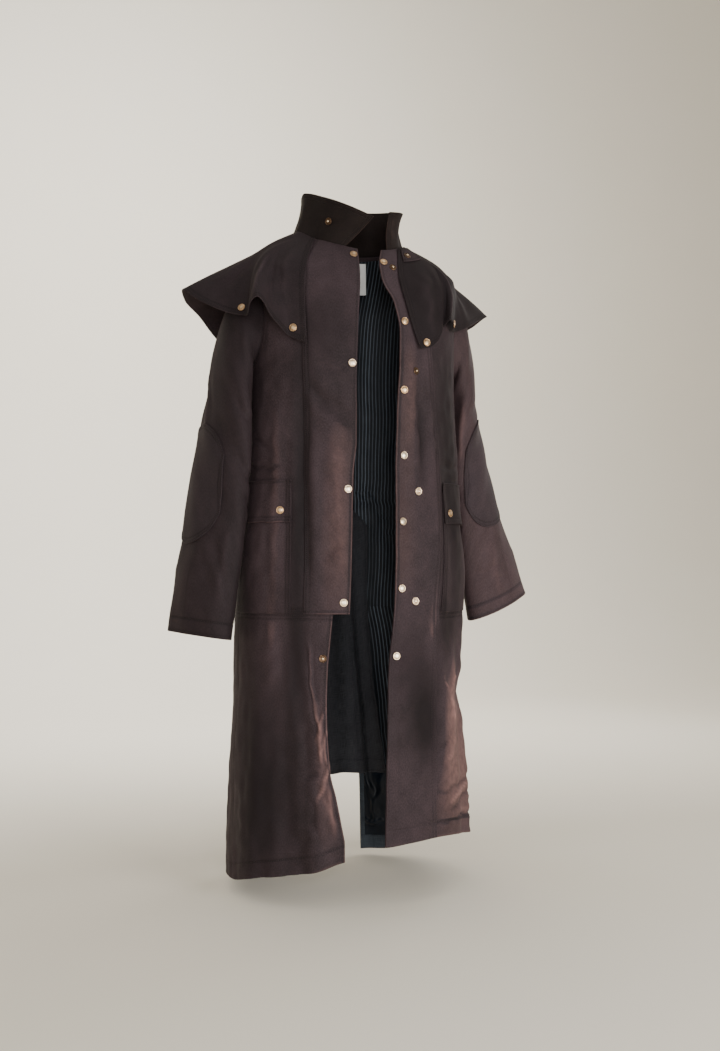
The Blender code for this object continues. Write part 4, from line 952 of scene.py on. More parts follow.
class Nodes:
    """Small helper that writes a material's nodes."""

    def __init__(self, name):
        self.material = bpy.data.materials.new(name)
        self.material.use_nodes = True
        self.tree = self.material.node_tree
        self.shader = self.tree.nodes["Principled BSDF"]

    def put(self, socket, value):
        """Set a socket to a constant, or link it to another node's output."""
        if isinstance(value, bpy.types.NodeSocket):
            self.tree.links.new(value, socket)
        else:
            socket.default_value = value

    def add(self, kind, out=0, inputs=(), **settings):
        """Add a node, set what it is given and return one of its outputs."""
        node = self.tree.nodes.new(kind)
        for key, value in settings.items():
            setattr(node, key, value)
        for key, value in dict(inputs).items():
            self.put(node.inputs[key], value)
        return node.outputs[out]

    def shade(self, **values):
        """Set the shader's sockets."""
        for key, value in values.items():
            self.put(self.shader.inputs[key.replace("_", " ")], value)

    def threads(self, across, along, detail=2.0):
        """Noise on the cloth's own metres, with so many cells in a metre each way."""
        uv = self.add("ShaderNodeUVMap", uv_map="UVMap")
        cells = {0: uv, 1: (across, along, 1.0)}
        scaled = self.add("ShaderNodeVectorMath", inputs=cells, operation="MULTIPLY")
        return self.add("ShaderNodeTexNoise", "Fac", {"Vector": scaled, "Scale": 1.0, "Detail": detail})

    def ranged(self, value, low, high, to_low, to_high):
        """Value mapped from one range to another, held at its ends."""
        return self.add("ShaderNodeMapRange", 0, {0: value, 1: low, 2: high, 3: to_low, 4: to_high})

    def mottle(self, across, along, detail, *ranges):
        """Noise on the cloth's own metres, mapped from one range to another."""
        return self.ranged(self.threads(across, along, detail), *ranges)

    def spots(self, scale, detail):
        """Noise on the object's own metres."""
        place = self.add("ShaderNodeTexCoord", "Object")
        return self.add("ShaderNodeTexNoise", "Fac", {"Vector": place, "Scale": scale, "Detail": detail})

    def math(self, operation, first, second=0.0):
        """Sum, product and the like of two values."""
        return self.add("ShaderNodeMath", 0, {0: first, 1: second}, operation=operation)

    def mix(self, share, first, second):
        """Mix of two colours, each of them a socket or three values."""
        both = [part if isinstance(part, bpy.types.NodeSocket) else (*part, 1.0) for part in (first, second)]
        return self.add("ShaderNodeMix", 2, {0: share, 6: both[0], 7: both[1]}, data_type="RGBA")

    def bump(self, height, strength, distance):
        """Normal with a fine relief."""
        return self.add("ShaderNodeBump", 0, {"Height": height, "Strength": strength, "Distance": distance})

    def wear_light_and_shade(self):
        """The mesh's wear with painted light and shade: pale above zero for worn cloth and painted
        highlights, dark below zero for painted shade and darker tone.
        """
        return self.add("ShaderNodeAttribute", "Fac", attribute_name="wear_light_and_shade")


# Noises of the cloths. Columns: cells in a metre across and along, detail, noise from and to, result
# from and to
WAX_PATCHES = (7.0, 4.0, 4.0, 0.32, 0.70, 0.0, 1.0)
WAX_MOTTLES = ((38.0, 30.0, 4.0, 0.30, 0.70, -0.12, 0.12), (420.0, 300.0, 2.0, 0.30, 0.70, -0.20, 0.22))
WAX_SCUFFS = (110.0, 80.0, 5.0, 0.34, 0.66, 0.66, 1.10)
WEAVE_CLOUDS = (9.0, 6.0, 3.0, 0.3, 0.7, -0.15, 0.2)
STRIPE_WANDER = (2.2, 5.0, 1.0, 0.2, 0.8, -0.9, 0.9)
# Long upright bands of painted fold shade on the lining's stripes
STRIPE_FOLD_SHADE = (26.0, 1.3, 2.0, 0.36, 0.62, 0.12, 1.0)
SATIN_CLOUDS = (16.0, 11.0, 3.0, 0.3, 0.7, 0.0, 1.0)
# Threads of the cloths. Columns: cells in a metre across and along, detail
WAX_SLUBS = (1100.0, 190.0, 3.0)
WAX_GRAIN = (1500.0, 1500.0, 2.0)
LINING_TWILL = (1400.0, 1400.0, 2.0)
SATIN_FLOATS = (60.0, 1600.0, 2.0)
# Tones of the threads. Columns: noise from and to, result from and to
SLUB_TONES = (0.35, 0.70, -0.02, 0.24)
GRAIN_TONES = (0.35, 0.65, -0.08, 0.12)
WEAVE_TONES = (0.35, 0.65, 0.2, 0.55)
STRIPE_EDGE = (0.10, 0.17, 1.0, 0.0)
TWILL_TONES = (0.3, 0.7, 0.55, 1.0)
TWILL_ROUGHNESS = (0.3, 0.7, 0.42, 0.60)
SATIN_ROUGHNESS = (0.3, 0.7, 0.28, 0.36)
BRASS_DULLNESS = (0.40, 0.68, 0.0, 1.0)
BRASS_ROUGHNESS = (0.3, 0.7, 0.32, 0.44)
# Shares and ranges of the cloths' looks
PATCH_SHARE = 0.60
# How far the mark below zero darkens the cloth, for painted shade and darker tone
SHADE_AND_DARK_TONE = 0.36
SHADE_AND_DARK_SHARE = 0.85
SLUB_RELIEF = 0.7
WAX_GLOSS_RANGE = 0.14
WEAVE_GLOSS_RANGE = 0.12
THREAD_SHARE = 0.08
STRIPE_PITCH = 0.0074


def waxed_cotton(name, dark, pale, worn, gloss):
    """Closely woven waxed cotton with upright slubs and uneven wax; its mark paints worn ridges with painted
    highlights, and painted shade.
    """
    n = Nodes(name)
    patches = n.mottle(*WAX_PATCHES)
    slubs = n.threads(*WAX_SLUBS)
    grain = n.threads(*WAX_GRAIN)
    blend = n.math("MULTIPLY", patches, PATCH_SHARE)
    fine = [n.ranged(slubs, *SLUB_TONES), n.ranged(grain, *GRAIN_TONES)]
    for tone in fine + [n.mottle(*row) for row in WAX_MOTTLES]:
        blend = n.math("ADD", blend, tone)
    # Below zero the mark darkens the cloth: painted shade in troughs, along stitch rows, towards the sides
    # and over the right sleeve, and a darker tone on the cape halves, the tab and the left elbow patch
    shade_and_dark = n.ranged(n.wear_light_and_shade(), -1.0, 0.0, SHADE_AND_DARK_SHARE, 0.0)
    base = n.mix(shade_and_dark, n.mix(blend, dark, pale), [SHADE_AND_DARK_TONE * part for part in dark])
    # Above zero the mark mixes in the worn colour, scuffed: worn pale cloth and painted highlights
    share = n.math("MULTIPLY", n.math("MAXIMUM", n.wear_light_and_shade()), n.mottle(*WAX_SCUFFS))
    slub_relief = n.math("MULTIPLY", slubs, SLUB_RELIEF)
    relief = n.math("ADD", slub_relief, n.math("MULTIPLY", grain, 1.0 - SLUB_RELIEF))
    n.shade(Base_Color=n.mix(share, base, worn), Normal=n.bump(relief, strength=0.42, distance=0.0005))
    n.shade(Roughness=n.ranged(patches, 0.0, 1.0, gloss, gloss + WAX_GLOSS_RANGE), Specular_IOR_Level=0.14)
    n.shade(Sheen_Weight=0.02, Sheen_Roughness=0.45, Sheen_Tint=(0.95, 0.66, 0.60, 1.0))
    return n.material


def plain_weave(name, dark, pale, threads, roughness):
    """Plain woven cloth with threads both ways."""
    n = Nodes(name)
    warp = n.threads(threads, THREAD_SHARE * threads)
    weft = n.threads(THREAD_SHARE * threads, threads)
    both = n.math("MULTIPLY", n.math("ADD", warp, weft), 0.5)
    cloudy = n.mottle(*WEAVE_CLOUDS)
    # The mark adds painted light and shade: on the fantail's pleats, and on the back skirts' facing, which
    # carries part of their wear with painted light and shade
    share = n.math("ADD", n.math("ADD", n.ranged(both, *WEAVE_TONES), cloudy), n.wear_light_and_shade())
    n.shade(Base_Color=n.mix(share, dark, pale), Normal=n.bump(both, strength=0.5, distance=0.0004))
    n.shade(Roughness=n.ranged(cloudy, *WEAVE_CLOUDS[-2:], roughness, roughness + WEAVE_GLOSS_RANGE))
    n.shade(Sheen_Weight=0.03, Sheen_Roughness=0.5, Specular_IOR_Level=0.2)
    return n.material


def striped_lining(name, ground, stripe):
    """Smooth lining with narrow upright stripes."""
    n = Nodes(name)
    uv = n.add("ShaderNodeUVMap", uv_map="UVMap")
    across = n.add("ShaderNodeSeparateXYZ", 0, {0: uv})
    place = n.math("ADD", n.math("DIVIDE", across, STRIPE_PITCH), n.mottle(*STRIPE_WANDER))
    away = n.math("ABSOLUTE", n.math("SUBTRACT", n.math("FRACT", place), 0.5))
    twill = n.threads(*LINING_TWILL)
    # The stripes are dimmed in long upright bands: painted shade of soft folds
    line = n.math("MULTIPLY", n.ranged(away, *STRIPE_EDGE), n.mottle(*STRIPE_FOLD_SHADE))
    stripe_with_fold_shade = n.math("MULTIPLY", line, n.ranged(twill, *TWILL_TONES))
    n.shade(Base_Color=n.mix(stripe_with_fold_shade, ground, stripe), Normal=n.bump(twill, strength=0.3, distance=0.0003))
    n.shade(Roughness=n.ranged(twill, *TWILL_ROUGHNESS), Specular_IOR_Level=0.12)
    return n.material


def satin_cloth(name, dark, pale):
    """Glossy satin whose long floats run across."""
    n = Nodes(name)
    floats = n.threads(*SATIN_FLOATS)
    n.shade(Base_Color=n.mix(n.mottle(*SATIN_CLOUDS), dark, pale))
    n.shade(Roughness=n.ranged(floats, *SATIN_ROUGHNESS), Specular_IOR_Level=0.22)
    n.shade(Normal=n.bump(floats, strength=0.08, distance=0.0002))
    return n.material


def worn_brass(name, bright, dull, highlight_middle):
    """Brass with small dents, a duller tint in patches and a pale middle, a painted highlight."""
    n = Nodes(name)
    spots = n.spots(scale=420.0, detail=4.0)
    base = n.mix(n.ranged(spots, *BRASS_DULLNESS), bright, dull)
    n.shade(Base_Color=n.mix(n.wear_light_and_shade(), base, highlight_middle), Metallic=1.0)
    n.shade(Roughness=n.ranged(spots, *BRASS_ROUGHNESS), Normal=n.bump(spots, strength=0.04, distance=0.0003))
    return n.material


def pale_floor(name, one, other):
    """Plain pale paper."""
    n = Nodes(name)
    n.shade(Base_Color=n.mix(n.spots(scale=3.0, detail=2.0), one, other), Roughness=0.9)
    return n.material


# Waxed cottons. Columns: dark, pale, worn (pale colour for worn cloth and painted highlights), gloss
COTTON = ((0.022, 0.0156, 0.0174), (0.070, 0.0470, 0.0540), (0.32, 0.178, 0.160), 0.68)
SLEEVE_COTTON = ((0.023, 0.0172, 0.0195), (0.070, 0.049, 0.057), (0.27, 0.155, 0.142), 0.68)
COLLAR_COTTON = ((0.009, 0.0062, 0.0058), (0.022, 0.0145, 0.0130), (0.12, 0.060, 0.045), 0.72)
FINISHES = {
    "cloth": waxed_cotton("waxed_cotton", *COTTON),
    "patch": waxed_cotton("waxed_patch", *SLEEVE_COTTON),
    "collar": waxed_cotton("collar_cotton", *COLLAR_COTTON),
    # Ground or dark, then stripe or pale; plain weaves end with threads in a metre and roughness
    "stripes": striped_lining("striped_lining", (0.0125, 0.0145, 0.0190), (0.180, 0.220, 0.275)),
    "satin": satin_cloth("satin", (0.0016, 0.0030, 0.0060), (0.006, 0.011, 0.021)),
    "fantail": plain_weave("charcoal_cotton", (0.011, 0.012, 0.015), (0.075, 0.075, 0.088), 700.0, 0.72),
    "facing": plain_weave("facing_cotton", (0.014, 0.019, 0.025), (0.080, 0.096, 0.118), 700.0, 0.70),
    "label": plain_weave("white_tape", (0.93, 0.93, 0.92), (0.99, 0.99, 0.98), 900.0, 0.62),
    "thread": plain_weave("sewing_thread", (0.022, 0.015, 0.014), (0.060, 0.040, 0.037), 900.0, 0.62),
    # Bright, dull, and the pale middle painted as a highlight
    # A paler copy of the golden brass for the lower front snaps: a painted reflection
    "brass": worn_brass("worn_brass", (0.88, 0.72, 0.53), (0.60, 0.40, 0.24), (0.92, 0.80, 0.62)),
    "golden": worn_brass("golden_brass", (0.66, 0.44, 0.25), (0.34, 0.20, 0.11), (0.80, 0.60, 0.38)),
    "aged": worn_brass("aged_brass", (0.16, 0.095, 0.055), (0.05, 0.032, 0.024), (0.90, 0.72, 0.48)),
}


def linked(name, data):
    """Object of the scene that holds a mesh, a lamp or a camera."""
    made = bpy.data.objects.new(name, data)
    bpy.context.scene.collection.objects.link(made)
    return made


def add_mesh(name, places, faces, material):
    """Smooth object from lists of places and faces."""
    mesh = bpy.data.meshes.new(name)
    mesh.from_pydata(places, [], faces)
    mesh.shade_smooth()
    mesh.materials.append(material)
    return linked(name, mesh)


def add_piece(name, places, faces, finish, uv=None, wear_light_and_shade=None):
    """Piece of the coat, with the places on the cloth and the wear with painted light and shade that its
    material reads.
    """
    made = add_mesh(name, places.tolist(), faces, FINISHES[finish])
    mesh = made.data
    if uv is not None:
        corners = np.empty(len(mesh.loops), dtype=np.int64)
        mesh.loops.foreach_get("vertex_index", corners)
        mesh.uv_layers.new(name="UVMap").data.foreach_set("uv", uv[corners].astype(np.float32).ravel())
    # The mesh carries its wear with painted light and shade as a point attribute
    if wear_light_and_shade is not None:
        worn = mesh.attributes.new("wear_light_and_shade", "FLOAT", "POINT")
        worn.data.foreach_set("value", np.clip(wear_light_and_shade, -1.0, 1.0).astype(np.float32))
    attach(made, "root")
    return made


def walked(points, axis):
    """Lengths walked along the rows (axis 1) or the columns (axis 0) of a grid of points."""
    steps = length_of(np.diff(points, axis=axis))[..., 0]
    start = np.zeros_like(points[:, :1, 0] if axis == 1 else points[:1, :, 0])
    return np.concatenate((start, np.cumsum(steps, axis=axis)), axis=axis)


def faced(points, guide, closed=False):
    """Directions square to a grid of points, on the side that a guide leads to."""
    if closed:
        over = np.roll(points, -1, axis=1) - np.roll(points, 1, axis=1)
    else:
        over = np.gradient(points, axis=1)
    facing = unit(np.cross(over, np.gradient(points, axis=0)))
    return facing * np.sign((facing * guide).sum())


class Cloth:
    """Thin closed shell on both sides of a grid of points, with its seams."""

    def __init__(self, name, points, facing, wear_light_and_shade, thickness=CLOTH, finish="cloth", seams=(), closed=False,
                 worn=(), seam_tone=1.0, inside=None):
        self.name = name
        self.points = points
        self.facing = facing
        self.closed = closed
        self.finish = finish
        self.inside = inside
        self.half = 0.5 * thickness
        self.seams = dict(seams)
        across = walked(points, 1)
        down = walked(points, 0)
        gaps = (across, across[:, -1:] - across, down, down[-1:] - down)
        self.gaps = dict(zip(BORDERS, gaps))
        relief = np.zeros(wear_light_and_shade.shape)
        for border, insets in self.seams.items():
            gap = self.gaps[border]
            relief += EDGE_SWELL * bell(gap, EDGE_SWELL_WIDTH, EDGE_SWELL_WIDTH)
            for inset in insets:
                relief -= STITCH_DIP * bell(gap, inset, STITCH_DIP_WIDTH)
                wear_light_and_shade = wear_light_and_shade - seam_tone * SEAM_SHADE * bell(gap, inset, SEAM_SHADE_WIDTH)
        for border in worn:
            wear_light_and_shade = wear_light_and_shade + seam_tone * EDGE_RUB * bell(self.gaps[border], 0.0, EDGE_RUB_WIDTH)
        self.wear_light_and_shade = wear_light_and_shade
        self.outer = points + facing * (self.half + relief)[..., None]
        self.inner = points - facing * self.half
        middle = points.shape[1] // 2
        self.uv = np.stack((across - across[:, middle:middle + 1], -down), -1)

    def loops(self):
        """Border loops as index arrays, with the directions that lead out of the cloth there."""
        points = self.points
        index = np.arange(self.wear_light_and_shade.size).reshape(self.wear_light_and_shade.shape)
        lead = np.zeros_like(points)
        lead[0] += unit(points[0] - points[1])
        lead[-1] += unit(points[-1] - points[-2])
        if self.closed:
            return [index[0], index[-1][::-1]], unit(lead).reshape(-1, 3)
        lead[:, 0] += unit(points[:, 0] - points[:, 1])
        lead[:, -1] += unit(points[:, -1] - points[:, -2])
        loop = np.concatenate((index[0], index[1:, -1], index[-1, -2::-1], index[-2:0:-1, 0]))
        return [loop], unit(lead).reshape(-1, 3)

    def build(self):
        """Make the shell's object."""
        count = self.wear_light_and_shade.size
        index = np.arange(count).reshape(self.wear_light_and_shade.shape)
        if self.closed:
            index = np.concatenate((index, index[:, :1]), axis=1)
        quads = np.stack((index[:-1, :-1], index[1:, :-1], index[1:, 1:], index[:-1, 1:]), -1).reshape(-1, 4)
        faces = [quads, quads[:, ::-1] + count]
        loops, lead = self.loops()
        flat = self.points.reshape(-1, 3)
        places = [self.outer.reshape(-1, 3), self.inner.reshape(-1, 3)]
        uv = [self.uv.reshape(-1, 2)] * 2
        # The inner face carries a share of the outer face's wear with painted light and shade
        wear_light_and_shade = [self.wear_light_and_shade.ravel(), INNER_WEAR_LIGHT_AND_SHADE * self.wear_light_and_shade.ravel()]
        total = 2 * count
        for loop in loops:
            rim = total + np.arange(len(loop))
            after = np.roll(loop, -1)
            rim_after = np.roll(rim, -1)
            faces.append(np.stack((loop, after, rim_after, rim), -1))
            faces.append(np.stack((rim, rim_after, after + count, loop + count), -1))
            places.append(flat[loop] + lead[loop] * self.half)
            uv.append(uv[0][loop])
            wear_light_and_shade.append(wear_light_and_shade[0][loop])
            total += len(loop)
        faces = np.concatenate(faces)
        corner, below, beside = self.outer[0, 0], self.outer[1, 0], self.outer[1, 1]
        if np.dot(np.cross(below - corner, beside - corner), self.facing[0, 0]) < 0.0:
            faces = faces[:, ::-1]
        places, uv, wear_light_and_shade = (np.concatenate(parts) for parts in (places, uv, wear_light_and_shade))
        piece = add_piece("cloth_" + self.name, places, faces.tolist(), self.finish, uv, wear_light_and_shade)
        if self.inside:
            piece.data.materials.append(FINISHES[self.inside])
            chosen = np.zeros(len(faces), dtype=np.int32)
            chosen[len(quads):2 * len(quads)] = 1
            piece.data.polygons.foreach_set("material_index", chosen)
        return piece

    def line(self, border, inset):
        """Points and facings on the outer face at a distance from a border."""
        upright = border in ("left", "right")
        lanes = np.concatenate((self.outer, self.facing), -1)
        gaps = self.gaps[border]
        if not upright:
            lanes = lanes.swapaxes(0, 1)
            gaps = gaps.T
        found = []
        for lane, away in zip(lanes, gaps):
            if away[0] > away[-1]:
                lane = lane[::-1]
                away = away[::-1]
            if away[-1] > 2.0 * inset:
                found.append([np.interp(inset, away, column) for column in lane.T])
        found = np.array(found)
        if self.closed and not upright:
            found = np.concatenate((found, found[:1]))
        return found[:, :3], unit(found[:, 3:])

    def stitches(self):
        """Make the rows of stitches along the seams as one object."""
        rows = []
        for border, insets in self.seams.items():
            ends = ("top", "bottom") if border in ("left", "right") else ("left", "right")
            trim = [self.seams[end][0] if self.seams.get(end) else STITCH_TRIM for end in ends]
            rows += [(*self.line(border, inset), *trim) for inset in insets]
        return add_stitches("stitches_" + self.name, rows)


def add_stitches(name, rows):
    """Rows of short thread stitches, each row a line of points and facings with its ends trimmed."""
    random = np.random.default_rng(STITCH_SEED)
    places = []
    faces = []
    count = 0
    half = 0.5 * STITCH_LENGTH
    for points, facing, first, last in rows:
        way = np.concatenate(([0.0], np.cumsum(length_of(np.diff(points, axis=0))[:, 0])))
        at = np.arange(first + 0.5 * STITCH_PITCH, way[-1] - last, STITCH_PITCH)
        middle, before, after, up = (
            np.stack([np.interp(at + shift, way, column) for column in grid.T], -1)
            for shift, grid in ((0.0, points), (-half, points), (half, points), (0.0, facing)))
        side = unit(np.cross(unit(up), after - before))
        lean = side * random.uniform(-STITCH_LEAN, STITCH_LEAN, (len(at), 1))
        wide = side * (0.5 * STITCH_WIDTH)
        corners = (before + lean, after - lean, middle + wide, middle - wide, middle + up * STITCH_HEIGHT)
        start = count + len(corners) * np.arange(len(at))
        places.append(np.stack(corners, 1).reshape(-1, 3))
        faces.append((start[:, None, None] + STITCH_FACES).reshape(-1, 3))
        count += len(places[-1])
    places = np.concatenate(places)
    return add_piece(name, places, np.concatenate(faces).tolist(), "thread", uv=places[:, :2])


def sew(name, surface, held, rests_on, **looks):
    """Make a cloth with its stitches in place of the node of its name."""
    cloth = Cloth(name, *surface, **looks)
    piece = cloth.build()
    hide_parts(name)
    if any(cloth.seams.values()):
        thread = cloth.stitches()


def front_levels():
    """Levels of a front's rows, closer at the armhole's ends."""
    armhole = [ARMHOLE_MIDDLE - ARMHOLE_HALF * math.cos(math.pi * i / ARMHOLE_LEVELS)
               for i in range(ARMHOLE_LEVELS + 1)]
    return marks(FRONT_END, STEP, (), DOUBLE, armhole)


def front_turns(side, down):
    """Turns of a front's edge, strip seam and side at levels."""
    edge, seam = (edge_turn(table, down) for table in FRONT_LINES[side])
    return edge, seam, np.copysign(side_turn(down), seam)


def between(first, last, shares, levels):
    """Turns and downs of rows at levels, each from one turn to another."""
    turn = first[:, None] + (last - first)[:, None] * shares
    return turn, np.broadcast_to(levels[:, None], turn.shape)


def gathers(turn, down, folds):
    """Push of folds that only lead inwards."""
    push, _ = creased(turn * ARC, down, folds, ARC, 1.0)
    return np.minimum(push, 0.0)


def pocket_lift(side, turn, down):
    """Small puff of a pocket's middle, which its flap follows."""
    _, seam, end = front_turns(side, down)
    first, last = POCKET_SHARES[side]
    share = ((turn - seam) / (end - seam) - first) / (last - first)
    bulge = np.sin(math.pi * np.clip(share, 0.0, 1.0))
    fade = ease((down - FLAP_TOP) / PUFF_FROM_TOP) * ease((SKIRT_SEAM - down) / PUFF_FROM_BOTTOM)
    return POCKET_PUFF * bulge * fade


def pocket_layers(side, turn, down, layers):
    """Lift of a pocket, or of its flap as the second layer, which curls outwards."""
    curl = FLAP_CURL * ((down - FLAP_TOP) / (FLAP_BOTTOM - FLAP_TOP)) ** 2
    return layers * LAYER + pocket_lift(side, turn, down) + (curl if layers == FLAP_LAYER else 0.0)


def make_front(side):
    """Front with its pocket and flap."""
    front = "front_" + side
    levels = front_levels()
    edge, _, end = front_turns(side, levels)
    places = between(edge, end, spread(FRONT_WIDTH, STEP, SINGLE, DOUBLE), levels)
    sew(front, on_body(*places, 0.0), "hung", ["cape_" + side], seams={"right": DOUBLE, "bottom": DOUBLE})
    first, last = POCKET_SHARES[side]
    for name, top, bottom, layers, seams, worn in POCKETS:
        levels = top + marks(bottom - top, FINE_STEP, seams.get("top", ()), seams.get("bottom", ()))
        _, seam, end = front_turns(side, levels)
        shares = first + (last - first) * spread(POCKET_WIDTH, FINE_STEP, seams["left"], seams["right"])
        turn, down = between(seam, end, shares, levels)
        lift = pocket_layers(side, turn, down, layers)
        sew(name + side, on_body(turn, down, lift), "laid", [front], seams=seams, worn=worn)


def make_strip(side):
    """Front strip: the right one ends at the skirt seam, the left one at the hem."""
    levels = front_levels()
    shares = spread(STRIP_WIDTH, FINE_STEP, SINGLE, DOUBLE)
    edge, seam, _ = front_turns(side, levels)
    turn, down = between(edge, seam, shares, levels)
    end = SINGLE
    if side == "left":
        end = WIDE_HEM
        lower = spread(STRIP_SKIRT_LENGTH, STEP, (), end)[1:]
        below = skirt_places(partial(edge_turn, LEFT_EDGE), partial(edge_turn, LEFT_SEAM), shares, lower)
        turn, down = np.concatenate(((turn, down), below), axis=1)
    quiet = 1.0 - STRIP_QUIET * ease((down - SKIRT_SEAM) / STRIP_QUIET_OVER)
    seams = {"left": SINGLE, "right": DOUBLE, "bottom": end}
    sew("placket_" + side, on_body(turn, down, LAYER), "laid", ["front_" + side], seams=seams,
        worn=tuple(seams), seam_tone=quiet)


def make_skirts():
    """Four skirts below the skirt seam, the left back one lined."""
    levels = spread(SKIRT_LENGTH, STEP, DOUBLE, WIDE_HEM)
    seams = {"left": SINGLE, "right": DOUBLE, "top": DOUBLE, "bottom": WIDE_HEM}
    for side, sign in SIGNS.items():
        table, crinkles, worn = FRONT_SKIRTS[side]
        shares = spread(FRONT_WIDTH, STEP, SINGLE, DOUBLE, crinkles)
        places = skirt_places(partial(edge_turn, table), partial(side_edge, sign, -1.0), shares, levels)
        sew("skirt_front_" + side, on_body(*places, 0.0), "hung", ["front_" + side], seams=seams, worn=worn)
    shares = spread(BACK_SKIRT_WIDTH, STEP, DOUBLE, CUFF_HEM)
    seams = {"left": DOUBLE, "right": CUFF_HEM, "top": DOUBLE, "bottom": WIDE_HEM}
    for side, sign in SIGNS.items():
        edges = partial(side_edge, sign, 1.0), partial(vent_edge, sign)
        places = skirt_places(*edges, shares, levels)
        sew("skirt_back_" + side, on_body(*places, 0.0), "hung", ["back"], seams=seams,
            worn=("right", "bottom"), inside="facing")
    shares = spread(SKIRT_LINING_SIZE, STEP) * (1.0 - VENT_BAND)
    for name, first, last, finish, folds in SKIRT_LININGS:
        levels = first + (last - first) * spread(SKIRT_LINING_SIZE, FINE_STEP)
        turn, down = skirt_places(*edges, shares, levels)
        points, facing, wear_light_and_shade = on_body(turn, down, LINING_LIFT + gathers(turn, down, folds))
        sew(name, (points, faced(points, facing), wear_light_and_shade), "hung", ["skirt_back_left"], thickness=LINING,
            finish=finish)


def make_back():
    """Back from the neck to the skirt seam, with its striped lining."""
    levels = front_levels()
    reach = side_turn(levels)
    shares = spread(BACK_WIDTH, STEP, DOUBLE, DOUBLE)
    places = between(180.0 - reach, 180.0 + reach, shares, levels)
    sew("back", on_body(*places, 0.0), "hung", ["cape_left", "cape_right"],
        seams={"left": DOUBLE, "right": DOUBLE, "bottom": DOUBLE})
    levels = LINING_TOP + marks(FRONT_END - LINING_TOP, STEP)
    reach = side_turn(levels)
    shares = BACK_MARGIN + (1.0 - 2.0 * BACK_MARGIN) * shares
    turn, down = between(180.0 - reach, 180.0 + reach, shares, levels)
    lift = LINING_LIFT + gathers(turn, down, LINING_FOLDS)
    sew("lining_back", on_body(turn, down, lift), "hung", ["back"], thickness=LINING, finish="stripes")


def make_fantail():
    """Pleated panel hung inside the back, over the vent."""
    top = FANTAIL_EDGE[0][0]
    levels = top + marks(FANTAIL_EDGE[-1][0] - top, STEP, SINGLE, CUFF_HEM)
    share, down = np.meshgrid(2.0 * spread(FANTAIL_WIDTH, FINE_STEP, SINGLE, SINGLE) - 1.0, levels)
    turn = 180.0 + turn_at(monotone(FANTAIL_EDGE, down, 1), down) * share
    loose = ease((down - FANTAIL_SWING_FROM) / FANTAIL_SWING_OVER)
    push = waves(0.5 * FANTAIL_WIDTH * share, down, FANTAIL_WAVE)
    # tone paints shade in the pleats' hollows and light on the panels between
    tone = 0.0
    for middle, half_width, depth, pleat_light_and_shade in FANTAIL_PLEATS:
        push = push + depth * bell(share, middle, half_width)
        tone = tone + pleat_light_and_shade * bell(share, middle, half_width)
    inside = CLOTH + LINING + 2.0 * SEAM_GAP + FANTAIL_CLEARANCE
    points, _, _ = on_body(turn, down, loose * (push - FANTAIL_SWING) - inside)
    sew("fantail", (points, faced(points, BACKWARDS), loose * tone), "hung", ["lining_back"],
        finish="fantail", seams={"left": SINGLE, "right": SINGLE, "bottom": CUFF_HEM})


def bezier(a, b, c, d, t):
    """Points on cubic curves."""
    s = 1.0 - t
    return a * s ** 3 + b * 3.0 * s * s * t + c * 3.0 * s * t * t + d * t ** 3


def sleeve_ring(side, angle, down):
    """Points on the rings of the lower sleeve."""
    sign = SIGNS[side]
    x, y, thin, wide, twist, tilt = (monotone(SLEEVES[side], down, i) for i in range(1, 7))
    turn = np.radians(twist)
    lean = np.radians(angle)
    out = stacked(sign * np.cos(turn), -np.sin(turn), 0.0)
    ahead = stacked(-sign * np.sin(turn), -np.cos(turn), 0.0)
    away = out * (thin * np.cos(lean))[..., None] + ahead * (wide * np.sin(lean))[..., None]
    rise = np.tan(np.radians(tilt)) * away[..., 0] * sign
    return stacked(sign * x, y, -down + rise) + away


def sleeve_form(side, angle, along):
    """Middle surface of a sleeve: along runs 0 to 1 over its head and on to the cuff's level."""
    sign = SIGNS[side]
    first = SLEEVES[side][0][0]
    below = sleeve_ring(side, angle, first + np.maximum(along - 1.0, 0.0))
    lean = np.radians(angle)
    level = ARMHOLE_MIDDLE - ARMHOLE_HALF * np.cos(lean)
    edge = body_form(sign * (SIDE_SEAM - ARMHOLE_TURN * np.sin(lean)), level)
    centre = stacked(edge[..., 0], 0.0, -ARMHOLE_MIDDLE)
    start = edge + unit(centre - edge) * SLEEVE_GAP
    end = sleeve_ring(side, angle, np.full(np.shape(angle), first))
    over = 0.5 + 0.5 * np.cos(lean)
    reach = (UNDERARM_REACH + (CAP_REACH - UNDERARM_REACH) * over)[..., None]
    lead = start + stacked(sign * (1.0 - CAP_TUCK * over), 0.0, -CAP_DROOP * over) * reach
    rise = HEAD_LENGTH * (start[..., 2] - end[..., 2]) + CAP_FULLNESS * over
    head = bezier(start, lead, end + stacked(0.0, 0.0, rise), end, np.clip(along, 0.0, 1.0)[..., None])
    return np.where((along > 1.0)[..., None], below, head)


def sleeve_facing(side, angle, along):
    """Directions that face out of a sleeve's form below its head."""
    low = np.maximum(along, 1.0 + 2.0 * DOWN_STEP)
    return SIGNS[side] * facing_of(partial(sleeve_form, side), angle, low, ANGLE_STEP, DOWN_STEP)


